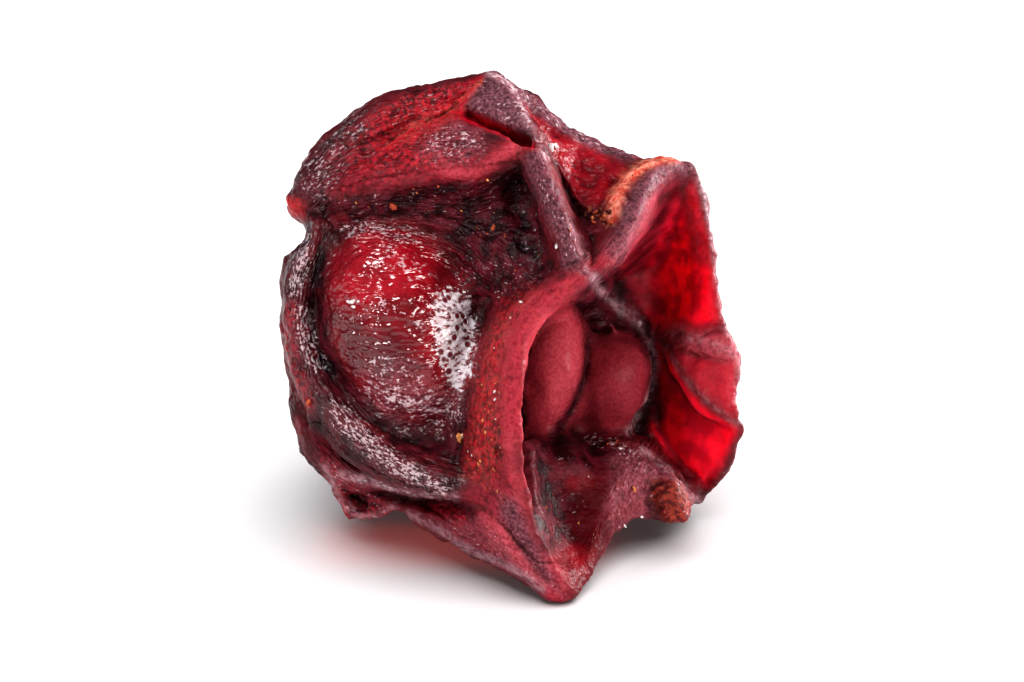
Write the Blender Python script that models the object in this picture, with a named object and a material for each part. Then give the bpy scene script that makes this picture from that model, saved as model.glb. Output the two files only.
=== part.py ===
"""Dried schisandra berry, one shrunken fruit about 7 mm across.

The skin has dried down over the seeds. It stands up in thin folds between them and, on the side that
faces the eye, lies open like a cup with two seed swellings on its floor.

The shape is described as the berry lies, seen level with its open side from LIE degrees above the
surface: a point is (across, up, away) in millimetres, away from the eye, and seen() turns it into the
part's own axes. Seeds and flesh are lobes, stretched skin is a sheet between rows of points, and a
rolled fold is a rope. They are fused into one skin, smoothed, creased and cut flat where it rests.
"""

import math

import bmesh
import bpy
import numpy as np
from mathutils import Matrix, Vector, noise

MM = 0.001

# The lie of the berry
LIE = math.radians(22)
FLOOR = -2.93          # height of the resting surface in the berry's own millimetres

# Fusing, in millimetres
VOXEL = 0.09
SMOOTH_ROUNDS = 7
TRIANGLES = 9500
SKIN = 0.34            # thickness of a stretched fold

# Crumpling, in millimetres
DENT = 0.12            # depth of the broad dents


def seen(across, up, away):
    """A point as the eye sees it, in the berry's own axes."""
    back = away * math.cos(LIE) + up * math.sin(LIE)
    height = up * math.cos(LIE) - away * math.sin(LIE)
    return Vector((across, back, height))


def spline(points, count):
    """count points on a Catmull-Rom curve through the given ones, ends included."""
    knots = np.array([points[0], *points, points[-1]], float)
    made = []
    for place in np.linspace(0, len(points) - 1, count):
        start = min(int(place), len(points) - 2)
        t = place - start
        a, b, c, d = knots[start:start + 4]
        made.append(0.5 * (2 * b + (c - a) * t + (2 * a - 5 * b + 4 * c - d) * t * t
                           + (3 * b - a - 3 * c + d) * t ** 3))
    return np.array(made)


def lobe(body, centre, radii, lean=0.0):
    """A seed swelling or a mass of dried flesh. lean tips its top to the right, in degrees."""
    place = Matrix.Translation(seen(*centre)) @ Matrix.Rotation(-LIE, 4, "X")
    turn = Matrix.Rotation(math.radians(lean), 4, "Y")
    size = Matrix.Diagonal((radii[0], radii[2], radii[1], 1))
    bmesh.ops.create_uvsphere(body, u_segments=32, v_segments=20, radius=1, matrix=place @ turn @ size)


def rope(body, points, radii):
    """A rolled fold of skin: a round ridge through the points, with a radius at each."""
    along = 6 * len(points)
    line = [seen(*p) for p in spline(points, along)]
    widths = spline([(r, 0, 0) for r in radii], along)[:, 0].tolist()
    sides = 10
    rings = []
    for n, point in enumerate(line):
        ahead = (line[min(n + 1, along - 1)] - line[max(n - 1, 0)]).normalized()
        across = ahead.orthogonal().normalized() if n == 0 else (across - ahead * across.dot(ahead)).normalized()
        other = ahead.cross(across)
        ring = []
        for side in range(sides):
            angle = 2 * math.pi * side / sides
            out = across * math.cos(angle) + other * math.sin(angle)
            ring.append(body.verts.new(point + out * widths[n]))
        rings.append(ring)
    for one, two in zip(rings, rings[1:]):
        for side in range(sides):
            after = (side + 1) % sides
            body.faces.new((one[side], one[after], two[after], two[side]))
    body.faces.new(rings[0][::-1])
    body.faces.new(rings[-1])


def sheet(body, rows, thick=SKIN):
    """Stretched skin through rows of points. thick is one thickness, or one for each row."""
    along, between = 28, 5 * len(rows)
    lines = [spline(row, along) for row in rows]
    grid = np.array([spline([line[n] for line in lines], between) for n in range(along)])
    grid = np.array([[seen(*p) for p in line] for line in grid])
    each = thick if isinstance(thick, (list, tuple)) else [thick] * len(rows)
    half = spline([(t, 0, 0) for t in each], between)[:, 0] / 2
    normal = np.cross(np.gradient(grid, axis=0), np.gradient(grid, axis=1))
    normal /= np.maximum(np.linalg.norm(normal, axis=2, keepdims=True), 1e-9)
    sides = []
    for sign in (1, -1):
        moved = grid + sign * normal * half[None, :, None]
        sides.append([[body.verts.new(p) for p in line] for line in moved])
    top, under = sides
    for i in range(along - 1):
        for j in range(between - 1):
            body.faces.new((top[i][j], top[i + 1][j], top[i + 1][j + 1], top[i][j + 1]))
            body.faces.new((under[i][j], under[i][j + 1], under[i + 1][j + 1], under[i + 1][j]))
    rim = [(i, 0) for i in range(along)] + [(along - 1, j) for j in range(1, between)]
    rim += [(i, between - 1) for i in range(along - 2, -1, -1)] + [(0, j) for j in range(between - 2, 0, -1)]
    for (a, b), (c, d) in zip(rim, rim[1:] + rim[:1]):
        body.faces.new((top[a][b], under[a][b], under[c][d], top[c][d]))


def flesh(body):
    """The dried flesh and the seeds inside it, which the skin has shrunk on to, seen from behind."""
    lobe(body, (-1.45, 2.1, 1.1), (1.65, 1.42, 1.35), lean=-10)
    lobe(body, (-0.2, 2.85, 0.8), (0.9, 0.95, 0.9))
    lobe(body, (-1.55, 0.0, 1.5), (1.75, 1.9, 1.5), lean=12)
    lobe(body, (1.35, 0.35, 1.8), (1.75, 2.1, 1.25), lean=-6)
    lobe(body, (0.0, 0.9, 2.0), (1.5, 1.9, 1.15))
    lobe(body, (0.2, 2.1, 0.9), (1.3, 1.1, 1.1), lean=-15)
    lobe(body, (1.55, 1.55, 1.35), (1.15, 1.15, 0.95), lean=-20)
    lobe(body, (-1.45, -0.92, 2.0), (1.42, 1.42, 1.42))
    lobe(body, (1.5, -0.93, 2.1), (1.35, 1.35, 1.35))
    lobe(body, (0.4, -1.0, 1.4), (1.6, 1.2, 1.0))
    lobe(body, (-2.2, -0.3, 0.2), (1.12, 1.75, 0.95), lean=-6)
    lobe(body, (-2.15, -1.5, 0.4), (0.95, 0.9, 0.95))
    lobe(body, (1.9, 0.25, 1.5), (0.9, 1.8, 1.0), lean=-8)
    lobe(body, (1.0, -1.45, 0.65), (0.9, 0.5, 0.6))
    lobe(body, (-1.2, -1.55, -0.5), (0.85, 0.6, 0.8))
    lobe(body, (1.55, 1.85, 0.5), (0.85, 0.75, 0.7))
    lobe(body, (0.4, -2.1, -0.3), (0.95, 0.6, 1.0))
    sheet(body, [
        [(-2.85, 2.45, 0.4), (-2.4, 2.95, 0.5), (-1.9, 3.25, 0.6), (-1.4, 3.4, 0.6), (-0.95, 3.5, 0.5),
         (-0.45, 3.7, 0.35), (0.1, 3.5, 0.45), (0.5, 3.2, 0.55), (0.9, 2.88, 0.55), (1.35, 2.6, 0.5)],
        [(-2.6, 2.1, 1.4), (-2.1, 2.5, 1.6), (-1.6, 2.75, 1.7), (-1.1, 2.85, 1.7), (-0.6, 2.9, 1.6),
         (-0.2, 3.0, 1.4), (0.2, 2.9, 1.3), (0.6, 2.6, 1.3), (1.0, 2.3, 1.3), (1.5, 2.0, 1.3)],
    ], 0.4)


def seeds(body):
    """The swellings over the seeds: the glossy dome on the left and the pair on the cup's floor."""
    lobe(body, (-1.7, 0.05, -0.55), (1.25, 1.75, 1.45), lean=-18)
    lobe(body, (0.58, -0.62, -0.1), (0.6, 1.12, 0.75), lean=13)
    lobe(body, (1.52, -0.72, 0.2), (0.62, 0.86, 0.7), lean=10)


def mouth(body):
    """The cup's near rim, an S from the top right through the middle down to the front foot."""
    sheet(body, [
        [(2.45, 2.50, -1.0), (1.95, 2.25, -1.5), (1.72, 1.7, -2.0), (1.40, 1.1, -2.4), (0.95, 0.7, -2.7),
         (0.40, 0.30, -2.8), (0.12, -0.3, -2.8), (0.06, -1.0, -2.75), (0.08, -1.7, -2.65), (0.17, -2.4, -2.55),
         (0.42, -3.2, -2.4), (0.8, -3.87, -2.05)],
        [(2.35, 2.2, -0.4), (1.9, 1.8, -0.9), (1.5, 1.35, -1.4), (1.05, 0.9, -1.8), (0.6, 0.65, -2.0),
         (0.1, 0.3, -2.1), (-0.2, -0.3, -2.1), (-0.34, -1.0, -2.05), (-0.42, -1.7, -1.95), (-0.32, -2.4, -1.85),
         (0.12, -3.0, -1.8), (0.7, -3.6, -1.8)],
        [(2.1, 1.6, 0.7), (1.5, 1.2, 0.4), (1.0, 0.95, 0.2), (0.5, 0.7, 0.0), (0.1, 0.5, -0.3),
         (-0.25, 0.2, -0.6), (-0.5, -0.3, -0.8), (-0.65, -1.0, -0.9), (-0.7, -1.6, -1.0), (-0.6, -2.1, -1.0),
         (-0.1, -2.4, -0.9), (0.5, -2.9, -0.9)],
    ], [0.3, 0.5, 0.9])


def right_wall(body):
    """The cup's far wall, thin enough to glow, its lower edge folded over the lower facet."""
    sheet(body, [
        [(2.42, 2.48, -1.0), (2.72, 2.25, -0.9), (2.92, 1.5, -0.6), (3.02, 0.8, -0.4), (3.12, 0.2, -0.35),
         (3.33, -0.4, -0.45), (3.30, -1.0, -0.55), (3.38, -1.4, -0.65)],
        [(2.35, 2.2, -0.3), (2.5, 1.75, 0.15), (2.64, 1.1, 0.4), (2.74, 0.5, 0.3), (2.74, 0.05, -0.05),
         (2.86, -0.4, -0.4), (3.0, -0.88, -0.52), (3.2, -1.25, -0.6)],
        [(1.9, 1.5, 0.8), (1.95, 1.2, 1.0), (2.05, 0.8, 1.0), (2.14, 0.3, 0.85), (2.24, -0.05, 0.5),
         (2.45, -0.42, 0.05), (2.78, -0.92, -0.25), (3.15, -1.34, -0.5)],
    ], [0.26, 0.3, 0.36])
    sheet(body, [
        [(3.38, -1.4, -0.3), (3.28, -1.85, 0.0), (2.95, -2.35, 0.3), (2.72, -2.62, 0.6)],
        [(2.95, -0.9, 0.6), (2.85, -1.4, 0.65), (2.62, -1.9, 0.75), (2.4, -2.3, 0.85)],
        [(2.2, 0.1, 1.2), (2.15, -0.6, 1.1), (2.1, -1.2, 1.0), (2.0, -1.8, 1.0)],
    ], [0.28, 0.32, 0.6])
    sheet(body, [
        [(2.16, 0.2, 0.8), (2.26, -0.05, 0.5), (2.48, -0.42, 0.1), (2.8, -0.9, -0.2), (3.2, -1.3, -0.5)],
        [(2.2, 0.2, 1.2), (2.35, -0.05, 1.0), (2.65, -0.42, 0.8), (2.95, -0.9, 0.5), (3.25, -1.3, -0.1)],
    ], 0.24)


def lower_lip(body):
    """The saddle under the cup and the scoop that runs down to the front foot."""
    sheet(body, [
        [(1.1, -1.7, 0.5), (1.5, -1.6, 0.4), (1.9, -1.65, 0.5), (2.3, -2.0, 0.6), (2.75, -2.5, 0.8)],
        [(1.35, -1.95, -0.5), (1.6, -1.85, -0.5), (1.95, -1.92, -0.35), (2.25, -2.2, -0.05), (2.7, -2.58, 0.3)],
        [(1.4, -2.5, -0.95), (1.6, -2.4, -0.8), (1.95, -2.4, -0.6), (2.25, -2.5, -0.3), (2.6, -2.66, 0.1)],
        [(1.38, -3.0, -1.15), (1.55, -2.9, -0.9), (1.85, -2.7, -0.6), (2.2, -2.72, -0.2), (2.5, -2.7, 0.2)],
    ], 0.32)
    sheet(body, [
        [(0.1, -1.6, -1.6), (0.2, -2.2, -2.0), (0.3, -2.9, -2.2), (0.5, -3.5, -2.2), (0.75, -3.85, -2.1)],
        [(0.5, -1.6, -0.2), (0.6, -2.2, -0.6), (0.72, -2.9, -1.1), (0.82, -3.5, -1.6), (0.85, -3.88, -1.95)],
        [(1.2, -1.75, -0.1), (1.32, -2.2, -0.75), (1.35, -2.8, -1.2), (1.22, -3.35, -1.55), (0.98, -3.78, -1.95)],
    ], 0.32)


def bottom_flange(body):
    """The fold that runs from the front foot back to the left, under a dark slit."""
    sheet(body, [
        [(-0.75, -2.5, -1.75), (-0.3, -2.6, -2.15), (0.0, -2.9, -2.4), (0.35, -3.4, -2.3), (0.75, -3.84, -2.05)],
        [(-1.15, -2.74, -1.1), (-0.75, -2.88, -1.4), (-0.38, -3.08, -1.7), (0.1, -3.4, -1.95), (0.7, -3.85, -2.0)],
        [(-1.65, -2.7, -0.5), (-1.15, -2.92, -0.75), (-0.62, -3.18, -1.1), (0.0, -3.42, -1.6), (0.65, -3.85, -1.95)],
        [(-1.6, -2.2, 0.4), (-1.1, -2.3, 0.2), (-0.5, -2.5, -0.1), (0.1, -2.7, -0.5), (0.7, -3.1, -1.2)],
    ], 0.25)


def left_folds(body):
    """The rolled fold round the dome, broad in its lower part, and the small curled lobe below it."""
    sheet(body, [
        [(-2.70, 1.65, -0.6), (-2.93, 1.1, -0.6), (-3.00, 0.5, -0.55), (-2.98, -0.0, -0.6), (-2.80, -0.5, -0.7),
         (-2.50, -0.95, -0.85), (-2.10, -1.4, -1.0), (-1.6, -1.75, -1.15), (-1.0, -1.95, -1.4), (-0.4, -2.0, -1.7)],
        [(-2.90, 1.68, -0.95), (-3.12, 1.15, -1.0), (-3.20, 0.5, -0.98), (-3.18, -0.05, -1.0), (-3.00, -0.6, -1.15),
         (-2.64, -1.1, -1.35), (-2.2, -1.5, -1.55), (-1.6, -1.9, -1.75), (-1.0, -2.1, -1.85), (-0.4, -2.15, -2.0)],
        [(-3.12, 1.6, -0.5), (-3.28, 1.1, -0.5), (-3.34, 0.45, -0.45), (-3.34, -0.1, -0.6), (-3.22, -0.8, -0.8),
         (-2.85, -1.5, -1.1), (-2.35, -1.95, -1.4), (-1.7, -2.25, -1.6), (-1.0, -2.36, -1.75), (-0.4, -2.36, -1.95)],
    ], [0.5, 0.4, 0.3])
    sheet(body, [
        [(-3.2, 1.5, -0.4), (-3.3, 1.0, -0.4), (-3.33, 0.4, -0.4), (-3.33, -0.2, -0.5), (-3.2, -0.9, -0.7),
         (-2.9, -1.5, -0.95), (-2.7, -1.9, -1.0)],
        [(-3.1, 1.5, 0.3), (-3.2, 1.0, 0.3), (-3.27, 0.4, 0.3), (-3.28, -0.2, 0.2), (-3.2, -1.0, 0.0),
         (-3.03, -1.6, -0.3), (-2.85, -2.0, -0.5)],
        [(-2.7, 1.5, 1.0), (-2.9, 1.0, 1.1), (-3.0, 0.4, 1.1), (-3.0, -0.2, 1.0), (-2.95, -1.0, 0.8),
         (-2.7, -1.6, 0.5), (-2.5, -1.9, 0.2)],
    ], 0.4)
    sheet(body, [
        [(-2.95, -1.5, -0.5), (-2.5, -1.9, -1.0), (-1.9, -2.0, -1.2), (-1.2, -2.1, -1.3), (-0.7, -2.2, -1.4)],
        [(-2.85, -2.0, -0.4), (-2.45, -2.3, -0.6), (-1.9, -2.5, -0.7), (-1.2, -2.65, -0.8), (-0.6, -2.75, -1.1)],
    ], 0.4)
    sheet(body, [
        [(-3.0, -1.6, 0.0), (-2.95, -1.95, -0.3), (-2.76, -2.3, -0.45), (-2.5, -2.65, -0.5), (-2.2, -2.8, -0.55),
         (-1.85, -2.72, -0.7)],
        [(-2.75, -1.7, 0.2), (-2.6, -2.0, 0.1), (-2.45, -2.2, 0.0), (-2.25, -2.35, -0.1), (-2.05, -2.4, -0.2),
         (-1.85, -2.4, -0.4)],
    ], 0.26)


def crown(body):
    """The cap over the dome, from the skyline down over its two lobes to the brow and the recess under it."""
    sheet(body, [
        [(-3.15, 1.9, 0.1), (-2.9, 2.55, 0.3), (-2.4, 3.1, 0.4), (-1.9, 3.4, 0.45), (-1.4, 3.55, 0.45),
         (-0.95, 3.67, 0.35), (-0.55, 3.8, 0.1)],
        [(-3.15, 1.95, -0.45), (-2.8, 2.5, -0.5), (-2.3, 2.98, -0.5), (-1.85, 3.25, -0.45), (-1.4, 3.4, -0.4),
         (-1.0, 3.52, -0.35), (-0.7, 3.65, -0.25)],
        [(-2.95, 1.95, -0.7), (-2.5, 2.4, -0.75), (-2.1, 2.72, -0.6), (-1.65, 2.95, -0.45), (-1.3, 3.1, -0.35),
         (-1.05, 3.25, -0.35), (-0.8, 3.4, -0.4)],
        [(-2.75, 2.0, -0.95), (-2.3, 2.3, -1.1), (-1.8, 2.55, -1.2), (-1.3, 2.75, -1.35), (-0.85, 2.82, -1.45),
         (-0.45, 2.85, -1.45), (-0.1, 2.8, -1.45)],
        [(-2.7, 1.95, -1.05), (-2.2, 2.15, -1.3), (-1.7, 2.25, -1.5), (-1.15, 2.35, -1.7), (-0.65, 2.35, -1.8),
         (-0.3, 2.45, -1.85), (0.0, 2.65, -1.9)],
        [(-2.6, 1.75, -0.8), (-2.1, 1.85, -0.9), (-1.6, 1.9, -1.0), (-1.1, 1.9, -1.1), (-0.6, 1.9, -1.2),
         (-0.2, 2.0, -1.3), (0.15, 2.2, -1.5)],
        [(-2.6, 1.45, -0.6), (-2.1, 1.5, -0.8), (-1.5, 1.4, -1.0), (-1.0, 1.2, -1.2), (-0.5, 0.9, -1.35),
         (-0.1, 0.8, -1.5), (0.4, 0.9, -1.8)],
    ], 0.42)
    lobe(body, (-0.85, 2.78, -0.95), (0.6, 0.38, 0.78), lean=20)
    rope(body, [(-2.65, 2.12, -1.0), (-2.2, 2.2, -1.3), (-1.6, 2.24, -1.5), (-1.1, 2.34, -1.68), (-0.63, 2.33, -1.78),
                (-0.28, 2.46, -1.85), (0.06, 2.7, -1.85)], [0.14, 0.15, 0.16, 0.17, 0.17, 0.17, 0.17])
    lobe(body, (-3.05, 1.95, -0.2), (0.32, 0.4, 0.5))
    lobe(body, (-2.7, 1.7, 0.0), (0.5, 0.5, 0.7))
    lobe(body, (-0.5, 0.7, -0.7), (0.65, 0.6, 0.7))
    lobe(body, (-0.2, 3.05, -0.2), (0.6, 0.5, 0.6))


def finger(body):
    """The fold that curls down from the brow's end over the cup's rim, and the trough on its left."""
    sheet(body, [
        [(-0.05, 2.6, -1.8), (0.2, 2.3, -1.95), (0.28, 1.9, -2.1), (0.36, 1.5, -2.2), (0.5, 1.15, -2.3),
         (0.62, 0.95, -2.35)],
        [(0.12, 2.7, -1.9), (0.38, 2.35, -2.25), (0.44, 1.95, -2.45), (0.58, 1.58, -2.6), (0.74, 1.22, -2.7),
         (0.76, 0.95, -2.6)],
        [(0.3, 2.65, -1.75), (0.54, 2.2, -2.1), (0.7, 1.8, -2.35), (0.84, 1.45, -2.5), (0.9, 1.15, -2.55),
         (0.86, 0.9, -2.45)],
        [(0.42, 2.5, -1.3), (0.66, 2.05, -1.5), (0.86, 1.65, -1.7), (1.0, 1.35, -1.9), (1.03, 1.05, -2.1),
         (0.95, 0.82, -2.2)],
    ], [0.34, 0.34, 0.34, 0.6])
    sheet(body, [
        [(-0.3, 2.1, -1.2), (-0.2, 1.6, -1.2), (-0.2, 1.1, -1.3), (-0.2, 0.5, -1.5)],
        [(0.1, 2.2, -1.35), (0.15, 1.7, -1.45), (0.25, 1.2, -1.7), (0.3, 0.6, -2.0)],
        [(0.5, 2.1, -1.4), (0.6, 1.7, -1.6), (0.7, 1.2, -1.9), (0.7, 0.8, -2.1)],
    ], 0.6)


def tent(body):
    """The flap at the top of the crown and the hollow panel that falls from the skyline to the rim."""
    sheet(body, [
        [(-0.45, 3.9, 0.0), (-0.1, 3.65, -0.3), (0.1, 3.35, -0.8), (0.28, 3.0, -1.25), (0.4, 2.65, -1.55)],
        [(-0.72, 3.5, -0.65), (-0.45, 3.36, -0.95), (-0.12, 3.16, -1.2), (0.15, 2.97, -1.4), (0.38, 2.75, -1.6)],
    ], 0.2)
    sheet(body, [
        [(-0.5, 3.88, 0.1), (0.05, 3.68, 0.25), (0.45, 3.4, 0.35), (0.85, 3.05, 0.4), (1.25, 2.85, 0.3),
         (1.65, 2.66, 0.1), (2.0, 2.5, -0.2), (2.35, 2.5, -0.7)],
        [(-0.3, 3.7, -0.2), (0.2, 3.3, -0.25), (0.55, 2.95, -0.3), (0.9, 2.65, -0.35), (1.2, 2.45, -0.45),
         (1.45, 2.3, -0.65), (1.7, 2.2, -0.85), (2.0, 2.25, -1.1)],
        [(0.0, 3.35, -0.75), (0.3, 2.95, -0.85), (0.58, 2.55, -0.9), (0.82, 2.2, -0.95), (1.02, 1.98, -1.05),
         (1.22, 1.88, -1.2), (1.42, 1.88, -1.4), (1.7, 2.05, -1.5)],
        [(0.35, 2.65, -1.5), (0.5, 2.3, -1.4), (0.68, 1.95, -1.4), (0.88, 1.65, -1.5), (1.1, 1.5, -1.65),
         (1.3, 1.5, -1.8), (1.45, 1.62, -1.9), (1.6, 1.82, -1.95)],
    ], [0.24, 0.34, 0.4, 0.4])


def nub(body):
    """What is left of the stalk."""
    rope(body, [(2.28, -2.25, 0.0), (2.33, -2.42, -0.45), (2.4, -2.58, -0.75)], [0.24, 0.27, 0.22])


# Creases pressed into the finished skin: how deep, how wide, and the line they follow. A depth below 0 is a ridge.
CREASES = (
    (0.22, 0.12, [(-0.62, 3.75, -0.2), (-0.9, 3.42, -0.5), (-1.25, 3.15, -0.5), (-1.65, 3.0, -0.6), (-2.3, 2.6, -0.8)]),
    (0.14, 0.10, [(-0.95, 3.5, -0.5), (-1.45, 3.35, -0.5), (-1.9, 3.1, -0.5), (-2.3, 2.95, -0.5)]),
    (0.60, 0.11, [(-0.78, 3.33, -0.8), (-0.4, 3.16, -1.2), (0.0, 2.98, -1.4), (0.34, 2.78, -1.6)]),
    (0.25, 0.20, [(-0.1, 2.3, -1.6), (0.03, 2.0, -1.7), (0.1, 1.6, -1.8), (0.22, 1.2, -1.9), (0.45, 0.85, -2.2)]),
    (0.20, 0.12, [(0.66, 2.45, -1.6), (0.92, 1.95, -1.8), (1.12, 1.5, -2.1), (1.18, 1.15, -2.3)]),
    (0.22, 0.16, [(-2.85, 1.5, -0.8), (-3.0, 0.7, -0.8), (-2.95, -0.1, -0.8), (-2.6, -0.85, -1.0),
                  (-2.0, -1.45, -1.3), (-1.4, -1.8, -1.5), (-0.85, -1.95, -1.6)]),
    (0.25, 0.15, [(-0.35, 0.55, -1.6), (-0.52, -0.1, -1.5), (-0.6, -0.8, -1.5), (-0.72, -1.5, -1.5),
                  (-0.82, -2.0, -1.6)]),
    (0.75, 0.11, [(-2.1, -2.42, -0.9), (-1.7, -2.52, -1.0), (-1.3, -2.58, -1.1), (-0.95, -2.6, -1.3), (-0.65, -2.6, -1.6)]),
    (0.32, 0.13, [(-2.6, -2.3, -0.6), (-2.35, -2.5, -0.6), (-2.0, -2.6, -0.6)]),
    (0.22, 0.09, [(1.0, 0.45, -0.5), (1.1, -0.1, -0.7), (1.05, -0.6, -0.7), (0.85, -1.2, -0.6), (0.5, -1.65, -0.3)]),
    (0.20, 0.10, [(1.1, 0.35, 0.0), (1.6, 0.25, -0.1), (2.05, -0.15, 0.1), (2.18, -0.7, 0.2), (2.0, -1.25, 0.2),
                  (1.6, -1.6, 0.1), (1.0, -1.6, 0.1)]),
    (0.16, 0.08, [(2.3, -0.12, 0.5), (2.52, -0.55, 0.2), (2.85, -1.05, 0.1), (3.25, -1.42, -0.2)]),
    (0.16, 0.14, [(-1.7, 2.05, -1.0), (-1.2, 2.05, -1.2), (-0.6, 2.0, -1.3), (-0.2, 2.1, -1.4)]),
    (-0.10, 0.10, [(-2.2, 1.75, -0.9), (-1.6, 1.72, -1.0), (-1.0, 1.6, -1.2), (-0.5, 1.3, -1.3), (-0.2, 0.95, -1.5)]),
    (-0.14, 0.09, [(-0.5, 3.95, 0.0), (-0.05, 3.7, -0.3), (0.18, 3.25, -0.9), (0.36, 2.85, -1.4), (0.48, 2.5, -1.7)]),
    (0.22, 0.22, [(0.2, 3.5, -0.3), (0.5, 3.0, -0.6), (0.85, 2.5, -0.8), (1.2, 2.1, -1.0)]),
    (0.15, 0.15, [(0.1, -2.4, -2.6), (0.0, -2.8, -2.4), (0.2, -3.2, -2.3), (0.5, -3.6, -2.2)]),
)


# Folds over the hidden back, as lines of (way round, way up) in degrees from the berry's middle, 0 being the front
# and 90 the right, each with its height and half width in millimetres. A height below 0 is a furrow.
FOLDS = (
    (0.46, 0.20, [(70, 48), (96, 38), (118, 18), (124, -12), (112, -34), (118, -55)]),
    (0.42, 0.22, [(185, 80), (168, 52), (150, 24), (158, -6), (150, -32), (168, -60)]),
    (0.50, 0.20, [(240, 78), (212, 50), (200, 20), (212, -8), (200, -38), (205, -62)]),
    (0.42, 0.20, [(290, 60), (258, 44), (240, 18), (246, -14), (234, -40), (240, -60)]),
    (0.32, 0.18, [(96, 38), (128, 50), (168, 52), (212, 50), (245, 60)]),
    (0.34, 0.18, [(124, -12), (142, -18), (158, -6), (182, 6), (200, 20), (222, 26), (240, 18)]),
    (0.30, 0.18, [(246, -14), (264, -4), (282, -14), (292, -30)]),
    (0.30, 0.18, [(112, -34), (98, -28), (84, -36)]),
    (0.30, 0.18, [(150, -32), (176, -44), (200, -38), (220, -46), (234, -40)]),
    (-0.25, 0.22, [(135, 34), (138, 4), (132, -24)]),
    (-0.28, 0.22, [(182, 40), (178, 22), (184, -16), (178, -28)]),
    (-0.25, 0.20, [(226, 44), (222, 6), (228, -22)]),
    (-0.22, 0.20, [(262, 28), (264, 10)]),
)


def fused(body):
    """The shapes as one closed skin, evenly meshed and smoothed."""
    mesh = bpy.data.meshes.new("berry")
    body.to_mesh(mesh)
    berry = bpy.data.objects.new("berry", mesh)
    bpy.context.scene.collection.objects.link(berry)
    remesh = berry.modifiers.new("one skin", "REMESH")
    remesh.mode = "VOXEL"
    remesh.voxel_size = VOXEL
    soften = berry.modifiers.new("soften", "SMOOTH")
    soften.factor = 0.5
    soften.iterations = SMOOTH_ROUNDS
    return berry


def settle(berry, changed):
    """The evaluated mesh of the berry, changed by a function, as its own mesh."""
    graph = bpy.context.evaluated_depsgraph_get()
    mesh = bpy.data.meshes.new_from_object(berry.evaluated_get(graph))
    body = bmesh.new()
    body.from_mesh(mesh)
    changed(body)
    body.to_mesh(mesh)
    body.free()
    berry.modifiers.clear()
    berry.data = mesh


def keep_outer_skin(body):
    """Drops sealed bubbles and loose scraps: only the largest connected skin stays."""
    left, skins = set(body.verts), []
    while left:
        skin, edge = set(), [left.pop()]
        while edge:
            vert = edge.pop()
            skin.add(vert)
            for link in vert.link_edges:
                other = link.other_vert(vert)
                if other in left:
                    left.remove(other)
                    edge.append(other)
        skins.append(skin)
    skins.sort(key=len)
    bmesh.ops.delete(body, geom=[v for skin in skins[:-1] for v in skin], context="VERTS")


def seen_back(points):
    """The places of points as the eye sees them: the inverse of seen(), for an array."""
    across, back, height = points.T
    up = back * math.sin(LIE) + height * math.cos(LIE)
    away = back * math.cos(LIE) - height * math.sin(LIE)
    return np.stack([across, up, away], axis=1)


def step(value, start, end):
    """0 below start, 1 above end, smooth between."""
    t = np.clip((value - start) / (end - start), 0, 1)
    return t * t * (3 - 2 * t)


def lines_behind(points):
    """How far the folds behind lift each point: its direction from the middle against the lines of FOLDS."""
    out = points - np.array((0.0, 0.3, 0.2))
    reach = np.linalg.norm(out, axis=1, keepdims=True)
    out = out / reach
    lift = np.zeros(len(points))
    for height, width, line in FOLDS:
        path = np.radians(spline([(*place, 0) for place in line], 14 * len(line)))
        around, rise = path[:, 0], path[:, 1]
        way = np.stack([np.sin(around) * np.cos(rise), -np.cos(around) * np.cos(rise), np.sin(rise)], axis=1)
        near = (out @ way.T).max(axis=1)
        off = np.arccos(np.clip(near, -1, 1)) * reach[:, 0]
        lift = np.where(abs(height) * np.exp(-(off / width) ** 1.5) > abs(lift),
                        height * np.exp(-(off / width) ** 1.5), lift)
    return lift


def crumpled(body):
    """Presses the creases, raises the folds behind and dents the skin all over."""
    body.normal_update()
    points = np.array([v.co for v in body.verts])
    normals = np.array([v.normal for v in body.verts])
    look = seen_back(points)
    push = np.zeros(len(points))
    for depth, width, line in CREASES:
        path = spline(line, 12 * len(line))
        gap = np.hypot(look[:, None, 0] - path[None, :, 0], look[:, None, 1] - path[None, :, 1])
        near = gap.argmin(axis=1)
        off = gap[np.arange(len(gap)), near]
        along = near / (len(path) - 1)
        taper = np.sqrt(np.clip(np.sin(np.pi * np.clip(along, 0.02, 0.98)) * 1.4, 0, 1))
        level = np.exp(-((look[:, 2] - path[near, 2]) / 0.6) ** 2)
        push += depth * np.exp(-(off / width) ** 2) * level * taper
    eye = np.array(seen(0, 0, 1))
    hidden = step(look[:, 2], 0.3, 1.5) * step(points[:, 2], FLOOR + 0.25, FLOOR + 0.8)
    inside = np.exp(-(((look[:, 0] - 1.5) / 1.3) ** 2 + ((look[:, 1] + 0.2) / 1.8) ** 2) ** 2) * (normals @ eye < 0.2)
    hidden *= 1 - inside
    lift = hidden * (lines_behind(points) - 0.08)
    for n, point in enumerate(points.tolist()):
        place = Vector(point)
        broad = noise.noise(place * 0.8 + Vector((3.1, 7.7, 1.9)))
        small = noise.noise(place * 1.9 + Vector((8.2, 2.4, 5.3)))
        fine = abs(noise.noise(place * 2.6 + Vector((1.7, 4.9, 6.6))))
        lift[n] += DENT * (0.6 * broad + 0.4 * small - 0.7 * fine) * (1 + 0.8 * hidden[n])
    moved = points + push[:, None] * eye + lift[:, None] * normals
    for vert, place in zip(body.verts, moved.tolist()):
        vert.co = place


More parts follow.
